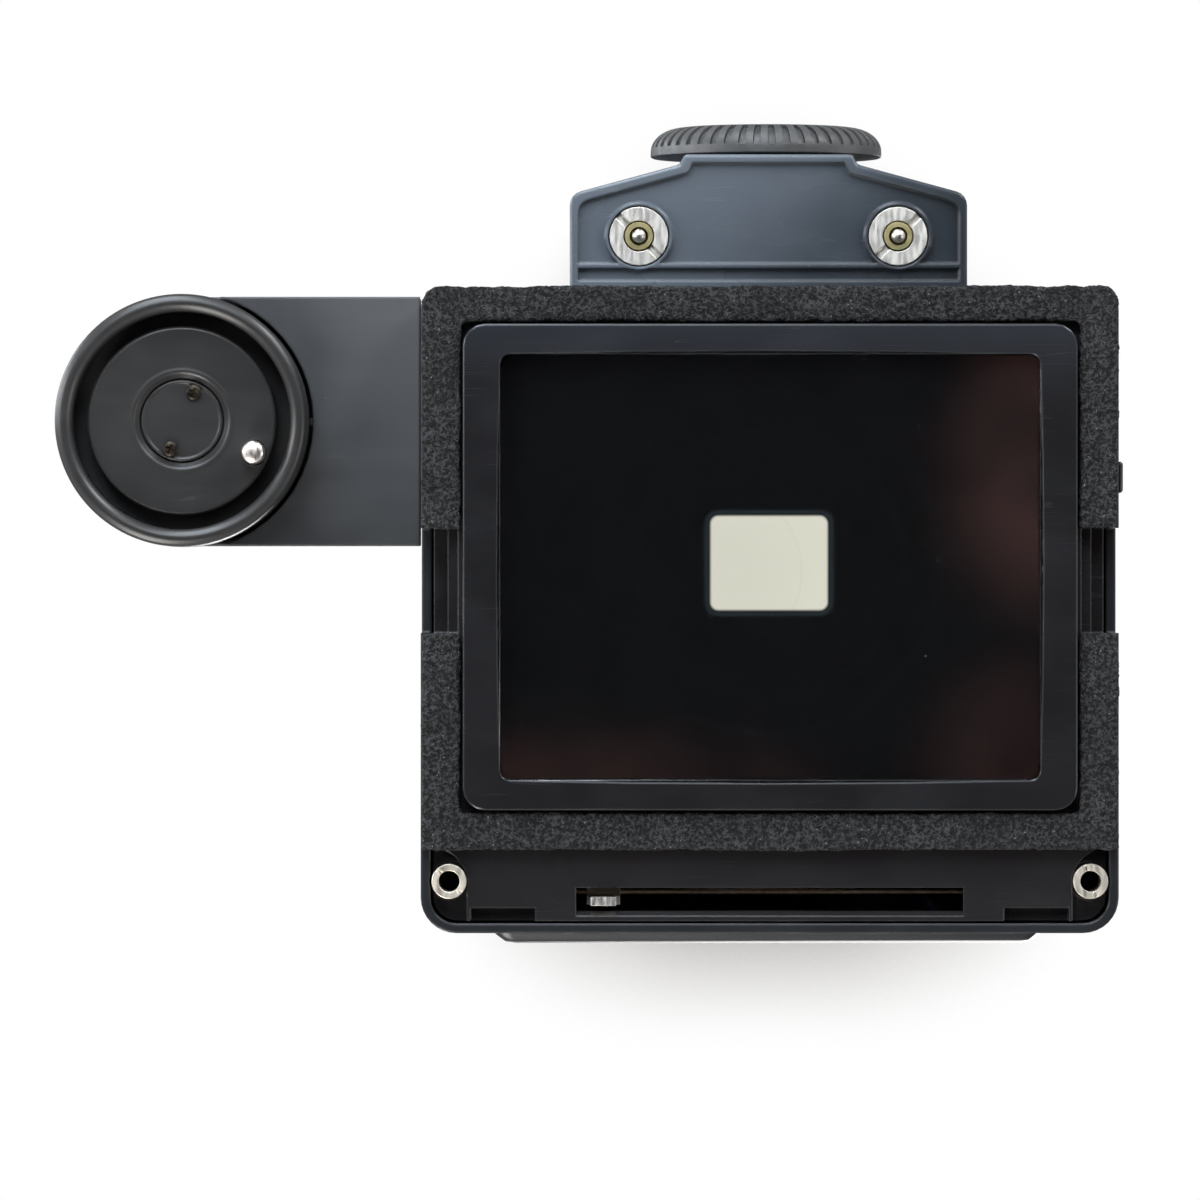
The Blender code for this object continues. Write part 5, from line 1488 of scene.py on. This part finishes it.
@dataclass
class Dials:
    """The speed dial, its lifting collar and the film speed disc, with their figures."""

    bench: Bench
    centre: Point = DIAL_AXIS
    speeds: tuple[str, ...] = ("1", "2", "4", "8", "15", "30", "60", "125", "250", "500", "1000")
    films: tuple[str, ...] = ("50", "100", "200", "400", "800", "1600")
    speed_radius: float = 10.6
    film_radius: float = 5.4
    speed_start: float = 240.0
    speed_span: float = 300.0
    speed_size: float = 1.75
    film_start: float = 230.0
    film_span: float = 280.0
    film_size: float = 0.95
    marked_speed: str = "30"
    figure_depth: float = 0.03
    letter_scale: float = 1.35
    knurls: int = 60
    knurl_faces: int = 4
    collar_wall: float = 1.8

    def build(self) -> None:
        """Makes the three rings and all figures."""
        dial = self.bench.copy_of("speed_dial", "speed_knob", bevel=0.2)
        self.bench.give(dial, "dial", Slot.MOULDED, "knob", ["speed_dial"])
        self.collar()
        disc = self.bench.copy_of("film_speed_disc", "film_disc", bevel=0.15)
        self.bench.give(disc, "film_speed", Slot.NICKEL, "disc", ["film_speed_disc"])
        dial_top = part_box("speed_dial")[1].z
        disc_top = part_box("film_speed_disc")[1].z
        for index, text in enumerate(self.speeds):
            angle = self.speed_start - self.speed_span * index / (len(self.speeds) - 1)
            finish = "orange" if text == self.marked_speed else "white"
            self.figure(f"speed_{text}", text, self.speed_size, self.speed_radius, angle, dial_top, "dial",
                        finish)
        for index, text in enumerate(self.films):
            angle = self.film_start - self.film_span * index / (len(self.films) - 1)
            self.figure(f"film_{text}", text, self.film_size, self.film_radius, angle, disc_top, "film_speed",
                        "red")

    def collar(self) -> None:
        """Turns the lifting collar and knurls its outside."""
        low, high = (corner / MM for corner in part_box("dial_collar"))
        outer = (high.x - low.x) / 2
        inner = outer - self.collar_wall
        profile = [
            (inner, low.z),
            (outer - 0.35, low.z),
            (outer - 0.35, low.z + 0.5),
            (outer, low.z + 0.75),
            (outer, high.z - 1.1),
            (outer - 0.45, high.z - 0.2),
            (outer - 0.75, high.z),
            (inner + 0.2, high.z),
            (inner, high.z - 0.2),
            (inner, low.z),
        ]
        made = turn("lift_collar", profile, self.centre, steps=self.knurls * self.knurl_faces)
        middle_line = Vector(self.centre) * MM

        def side(middle: Vector, normal: Vector) -> bool:
            """Says whether a face lies on the collar's upright side."""
            out = (middle - middle_line).to_2d()
            return out.length > (outer - 0.1) * MM * 0.995 and abs(normal.z) < 0.2

        ribs(made, self.knurls, 0.5, -0.32, self.centre, Axis.Z, side)
        smooth(made, 38.0)
        self.bench.give(made, "collar", Slot.MOULDED, "knob", ["dial_collar"])

    def figure(self, name: str, text: str, size: float, radius: float, angle: float, top: float, body: str,
               finish: str) -> None:
        """Lays one figure flat on a dial, its foot towards the middle.

        Args:
            name: The piece's name.
            text: The figure.
            size: Its height in millimetres.
            radius: How far its middle is from the axis, in millimetres.
            angle: Its direction in degrees.
            top: Height of the dial's face in metres.
            body: The body it rides on.
            finish: The finish that fills it.
        """
        bpy.ops.object.select_all(action="DESELECT")
        bpy.ops.object.text_add()
        written = bpy.context.object
        written.name = name
        written.data.body = text
        written.data.size = size * MM * self.letter_scale
        written.data.align_x = "CENTER"
        written.data.align_y = "CENTER"
        written.data.extrude = self.figure_depth * MM
        written.data.resolution_u = 3
        bpy.ops.object.convert(target="MESH")
        way = math.radians(angle)
        out = Vector((math.cos(way), math.sin(way), 0)) * radius * MM
        written.matrix_world = Matrix.Translation(
            Vector(self.centre) * MM + out + Vector((0, 0, top + self.figure_depth * MM))
        ) @ Matrix.Rotation(way - math.pi / 2, 4, "Z")
        with edit(written):
            bpy.ops.mesh.select_all(action="SELECT")
            bpy.ops.mesh.remove_doubles(threshold=WELD)
            bpy.ops.mesh.normals_make_consistent(inside=False)
        self.bench.give(written, body, Slot.NICKEL, finish)


@dataclass
class Fittings:
    """The guide sleeves, the aperture follower on its rod, the meter switch and the screws."""

    bench: Bench

    def build(self) -> None:
        """Makes the fittings that show and dresses what lies inside."""
        give = self.bench.give
        copy = self.bench.copy_of
        for hand in ("left", "right"):
            sleeve = copy(f"guide_sleeve_{hand}", f"slotted_sleeve_{hand}", bevel=0.1, angle=34.0)
            give(sleeve, "housing", Slot.NICKEL, "sleeve", [f"guide_sleeve_{hand}"])
            screw = copy(f"cover_screw_{hand}", f"slotted_screw_{hand}", bevel=0.06, angle=34.0)
            give(screw, "housing", Slot.STEEL, "steel", [f"cover_screw_{hand}"])
        rod = copy("guide_rod", "slide_rod", angle=60.0)
        give(rod, "housing", Slot.BRONZE, "bronze", ["guide_rod"])
        slider = copy("follower_slider", "aperture_follower", bevel=0.07, angle=34.0)
        give(slider, "follower", Slot.STEEL, "follower", ["follower_slider"])
        knob = copy("meter_switch", "switch_slide", bevel=0.12, angle=34.0)
        give(knob, "meter_switch", Slot.MOULDED, "knob", ["meter_switch"])
        dress = self.bench.dress
        dress("brass", "drive_pulley", "idler_pulley", "aperture_wiper", "speed_wiper")
        dress("steel", "drive_pulley_post", "idler_pulley_post", "idler_spring")
        dress("cord", "follower_cord", "lead_wire")
        dress("board", "circuit_board", "aperture_resistor", "speed_resistor")
        dress("inside", "meter_movement")
        dress("amber", "light_cell_left", "light_cell_right")
        dress("red", "meter_needle")


# ---------------------------------------------------------------- studio


@dataclass
class Lamp:
    """One soft panel light."""

    name: str
    place: Point
    aim: Point
    size: tuple[float, float]
    watts: float
    colour: Colour = (1.0, 1.0, 1.0)

    def hang(self) -> None:
        """Adds the light, turned towards what it lights."""
        data = bpy.data.lights.new(self.name, "AREA")
        data.shape = "RECTANGLE"
        data.size, data.size_y = self.size
        data.energy = self.watts
        data.color = self.colour
        lamp = bpy.data.objects.new(self.name, data)
        lamp.location = self.place
        way = Vector(self.aim) - Vector(self.place)
        lamp.rotation_euler = way.to_track_quat("-Z", "Y").to_euler()
        bpy.context.scene.collection.objects.link(lamp)


@dataclass
class Studio:
    """Floor, backdrop, surroundings, lights and camera."""

    camera_place: Point = (0.02086, -0.00405, -1.1)
    lens: float = 269.0
    floor_gap: float = 0.25
    floor_size: float = 6.0
    backdrop_size: float = 0.9
    backdrop_gap: float = 0.5
    sheet_middle: tuple[float, float] = (0.02, 0.0)
    card_size: float = 0.36
    card_behind: float = 0.02
    sensor: float = 36.0
    far_limit: float = 20.0
    shade_reach: float = 20.0
    shade: Colour = (0.26, 0.235, 0.21)
    warmth: Colour = (0.52, 0.255, 0.225)
    spots: tuple[tuple[float, float, float, float, float], ...] = (
        (-92.0, 26.0, 36.0, 46.0, 1.0),
        (-88.0, -46.0, 40.0, 36.0, 0.55),
        (20.0, -56.0, 74.0, 26.0, 0.60),
    )
    lamps: tuple[Lamp, ...] = (
        Lamp("rear_strip", (0.22, 0.80, -0.38), (0.0, 0.0, 0.0), (0.42, 0.90), 10.0, (0.84, 0.92, 1.0)),
        Lamp("far_strip", (-0.52, 0.64, -0.34), (0.0, 0.0, 0.0), (0.26, 0.80), 6.0, (0.97, 0.98, 1.0)),
        Lamp("front_strip", (0.34, -0.76, -0.38), (0.0, 0.0, 0.0), (0.34, 0.90), 10.0, (1.0, 0.97, 0.92)),
        Lamp("arm_strip", (0.84, 0.20, -0.30), (0.0, 0.0, 0.0), (0.30, 0.80), 5.0, (0.97, 0.98, 1.0)),
        Lamp("side_strip", (-0.82, -0.15, -0.34), (0.0, 0.0, 0.0), (0.26, 0.80), 1.6, (1.0, 0.94, 0.88)),
        Lamp("soft_window", (0.12, 0.60, -0.95), (0.0, 0.0, 0.0), (0.55, 0.40), 4.0, (0.86, 0.92, 1.0)),
        Lamp("ceiling_panel", (-0.35, -0.45, 1.05), (0.0, 0.0, 0.02), (0.9, 0.7), 14.0, (1.0, 0.98, 0.96)),
        Lamp("side_panel", (1.05, 0.35, 0.55), (0.02, 0.0, 0.02), (0.6, 0.8), 8.0, (0.90, 0.95, 1.0)),
    )

    def build(self) -> None:
        """Sets up everything that isn't part of the finder."""
        for lamp in self.lamps:
            lamp.hang()
        self.surroundings()
        self.floor()
        self.backdrop()
        self.warm_card()
        self.camera()
        scene = bpy.context.scene
        scene.view_settings.view_transform = "Standard"

    def surroundings(self) -> None:
        """Makes a pale room, darker below and overhead, that stays white behind the finder."""
        world = bpy.data.worlds.new("studio")
        world.use_nodes = True
        tree = world.node_tree
        tree.nodes.clear()
        place = tree.nodes.new("ShaderNodeTexCoord")
        apart = tree.nodes.new("ShaderNodeSeparateXYZ")
        ramp = tree.nodes.new("ShaderNodeValToRGB")
        height = tree.nodes.new("ShaderNodeMapRange")
        height.inputs["From Min"].default_value = -1.0
        height.inputs["From Max"].default_value = 1.0
        tree.links.new(place.outputs["Generated"], apart.inputs["Vector"])
        tree.links.new(apart.outputs["Z"], height.inputs["Value"])
        tree.links.new(height.outputs["Result"], ramp.inputs["Fac"])
        stops = [
            (0.0, (0.004, 0.004, 0.005)),
            (0.03, (0.010, 0.010, 0.012)),
            (0.14, (0.14, 0.15, 0.17)),
            (0.28, (0.55, 0.58, 0.64)),
            (0.46, (1.00, 1.02, 1.05)),
            (0.72, (0.30, 0.30, 0.31)),
            (1.0, (0.20, 0.20, 0.21)),
        ]
        ramp.color_ramp.elements.remove(ramp.color_ramp.elements[1])
        ramp.color_ramp.elements[0].position = stops[0][0]
        ramp.color_ramp.elements[0].color = (*stops[0][1], 1.0)
        for position, colour in stops[1:]:
            ramp.color_ramp.elements.new(position).color = (*colour, 1.0)
        seen = tree.nodes.new("ShaderNodeLightPath")
        choose = tree.nodes.new("ShaderNodeMix")
        choose.data_type = "RGBA"
        tree.links.new(seen.outputs["Is Camera Ray"], choose.inputs[0])
        tree.links.new(ramp.outputs["Color"], choose.inputs[6])
        choose.inputs[7].default_value = (1.0, 1.0, 1.0, 1.0)
        glow = tree.nodes.new("ShaderNodeBackground")
        tree.links.new(choose.outputs[2], glow.inputs["Color"])
        out = tree.nodes.new("ShaderNodeOutputWorld")
        tree.links.new(glow.outputs["Background"], out.inputs["Surface"])
        bpy.context.scene.world = world

    def sheet(self, name: str, size: float, height: float, faces_down: bool, colour: Colour,
              glow: float) -> Piece:
        """Makes a flat sheet that only the camera sees, and only from its front.

        Args:
            name: Its name.
            size: Its width in metres.
            height: Its height in metres.
            faces_down: Whether its front looks down.
            colour: Its colour.
            glow: Light that it gives of its own.

        Returns:
            The sheet.
        """
        bpy.ops.object.select_all(action="DESELECT")
        bpy.ops.mesh.primitive_plane_add(size=size, location=(*self.sheet_middle, height),
                                         rotation=(math.pi if faces_down else 0.0, 0, 0))
        sheet = bpy.context.object
        sheet.name = name
        g = Graph(name)
        g.set(Base_Color=colour, Roughness=0.9, Specular_IOR_Level=0.0, Emission_Color=colour,
              Emission_Strength=glow)
        clear = g.add("ShaderNodeBsdfTransparent")
        side = g.add("ShaderNodeMixShader")
        g.feed(side.inputs[0], g.add("ShaderNodeNewGeometry").outputs["Backfacing"])
        g.feed(side.inputs[1], g.shader.outputs["BSDF"])
        g.feed(side.inputs[2], clear.outputs["BSDF"])
        g.feed(g.output.inputs["Surface"], side.outputs["Shader"])
        sheet.data.materials.append(g.material)
        sheet.visible_shadow = False
        sheet.visible_diffuse = False
        sheet.visible_glossy = False
        sheet.visible_transmission = False
        sheet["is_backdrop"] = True
        return sheet

    def floor(self) -> None:
        """Lays the floor just under the finder."""
        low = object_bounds()[0].z
        self.sheet("floor", self.floor_size, low - self.floor_gap * MM, False, (0.86, 0.86, 0.86), 0.42)

    def backdrop(self) -> None:
        """Hangs the white table top against the roof, with a painted shadow darkening its glow where the
        finder comes close.
        """
        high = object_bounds()[1].z
        height = high + self.backdrop_gap * MM
        table = self.sheet("table_top", self.backdrop_size, height, True, (1.0, 1.0, 1.0), 1.0)
        shader = table.data.materials[0].node_tree.nodes["Principled BSDF"]
        tree = table.data.materials[0].node_tree
        # Painted shadow: occlusion near the finder darkens the table's glow.
        shadow_occlusion = tree.nodes.new("ShaderNodeAmbientOcclusion")
        shadow_occlusion.samples = 12
        shadow_occlusion.inputs["Distance"].default_value = self.shade_reach * MM
        tint = tree.nodes.new("ShaderNodeValToRGB")
        tint.color_ramp.elements[0].position = 0.30
        tint.color_ramp.elements[0].color = (*self.shade, 1.0)
        tint.color_ramp.elements[1].position = 0.90
        tint.color_ramp.elements[1].color = (1.0, 1.0, 1.0, 1.0)
        tree.links.new(shadow_occlusion.outputs["AO"], tint.inputs["Fac"])
        tree.links.new(tint.outputs["Color"], shader.inputs["Emission Color"])
        shader.inputs["Base Color"].default_value = (0.0, 0.0, 0.0, 1.0)

    def warm_card(self) -> None:
        """Stands a dim brown card behind the camera, seen only as a faint sheen in what shines."""
        bpy.ops.object.select_all(action="DESELECT")
        behind = self.camera_place[2] - self.card_behind
        bpy.ops.mesh.primitive_plane_add(size=self.card_size, location=(0.0, 0.0, behind))
        card = bpy.context.object
        card.name = "warm_card"
        g = Graph("warm_card")
        glow = g.math("MULTIPLY", g.ramp(g.noise(34.0, 2.0), 0.30, 0.62, 0.35, 1.0), self.sheen(g))
        g.set(Base_Color=(0.0, 0.0, 0.0), Roughness=1.0, Specular_IOR_Level=0.0,
              Emission_Color=g.mix(glow, (0.004, 0.004, 0.005), self.warmth), Emission_Strength=1.0)
        card.data.materials.append(g.material)
        card.visible_camera = False
        card.visible_shadow = False
        card.visible_diffuse = False
        card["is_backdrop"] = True

    def sheen(self, g: Graph) -> Socket:
        """Lays soft spots over the card.

        Args:
            g: The card's graph.

        Returns:
            How strong the sheen is at a place.
        """
        total: Socket | float = 0.0
        for x, y, wide, high, strength in self.spots:
            stretch = (1.0 / (wide * MM), 1.0 / (high * MM), 0.0)
            scaled = g.vector("MULTIPLY", g.where(centre=(x, y, 0)), stretch).outputs["Vector"]
            reach = g.vector("LENGTH", scaled)
            total = g.math("MAXIMUM", total, g.ramp(reach.outputs["Value"], 0.15, 1.0, strength, 0.0))
        return total

    def camera(self) -> None:
        """Places the camera below the finder, looking up, with the floor left out of its view."""
        data = bpy.data.cameras.new("camera")
        data.lens = self.lens
        data.sensor_width = self.sensor
        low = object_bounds()[0].z
        data.clip_start = low - self.floor_gap * MM / 2 - self.camera_place[2]
        data.clip_end = self.far_limit
        camera = bpy.data.objects.new("camera", data)
        camera.location = self.camera_place
        camera.rotation_euler = (0.0, math.pi, 0.0)
        bpy.context.scene.collection.objects.link(camera)
        bpy.context.scene.camera = camera


def main() -> None:
    """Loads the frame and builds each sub-assembly."""
    logging.basicConfig(level=logging.INFO, format="%(message)s")
    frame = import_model()
    bench = Bench(frame, Finishes())
    Studio().build()
    for assembly in (Casing, Seals, Optics, Eyepiece, Contacts, Coupling, Dials, Fittings):
        done = len(bench.handed_over)
        assembly(bench).build()
        LOG.info("%s: %s", assembly.__name__, ", ".join(bench.handed_over[done:]))


if __name__ == "__main__":
    main()
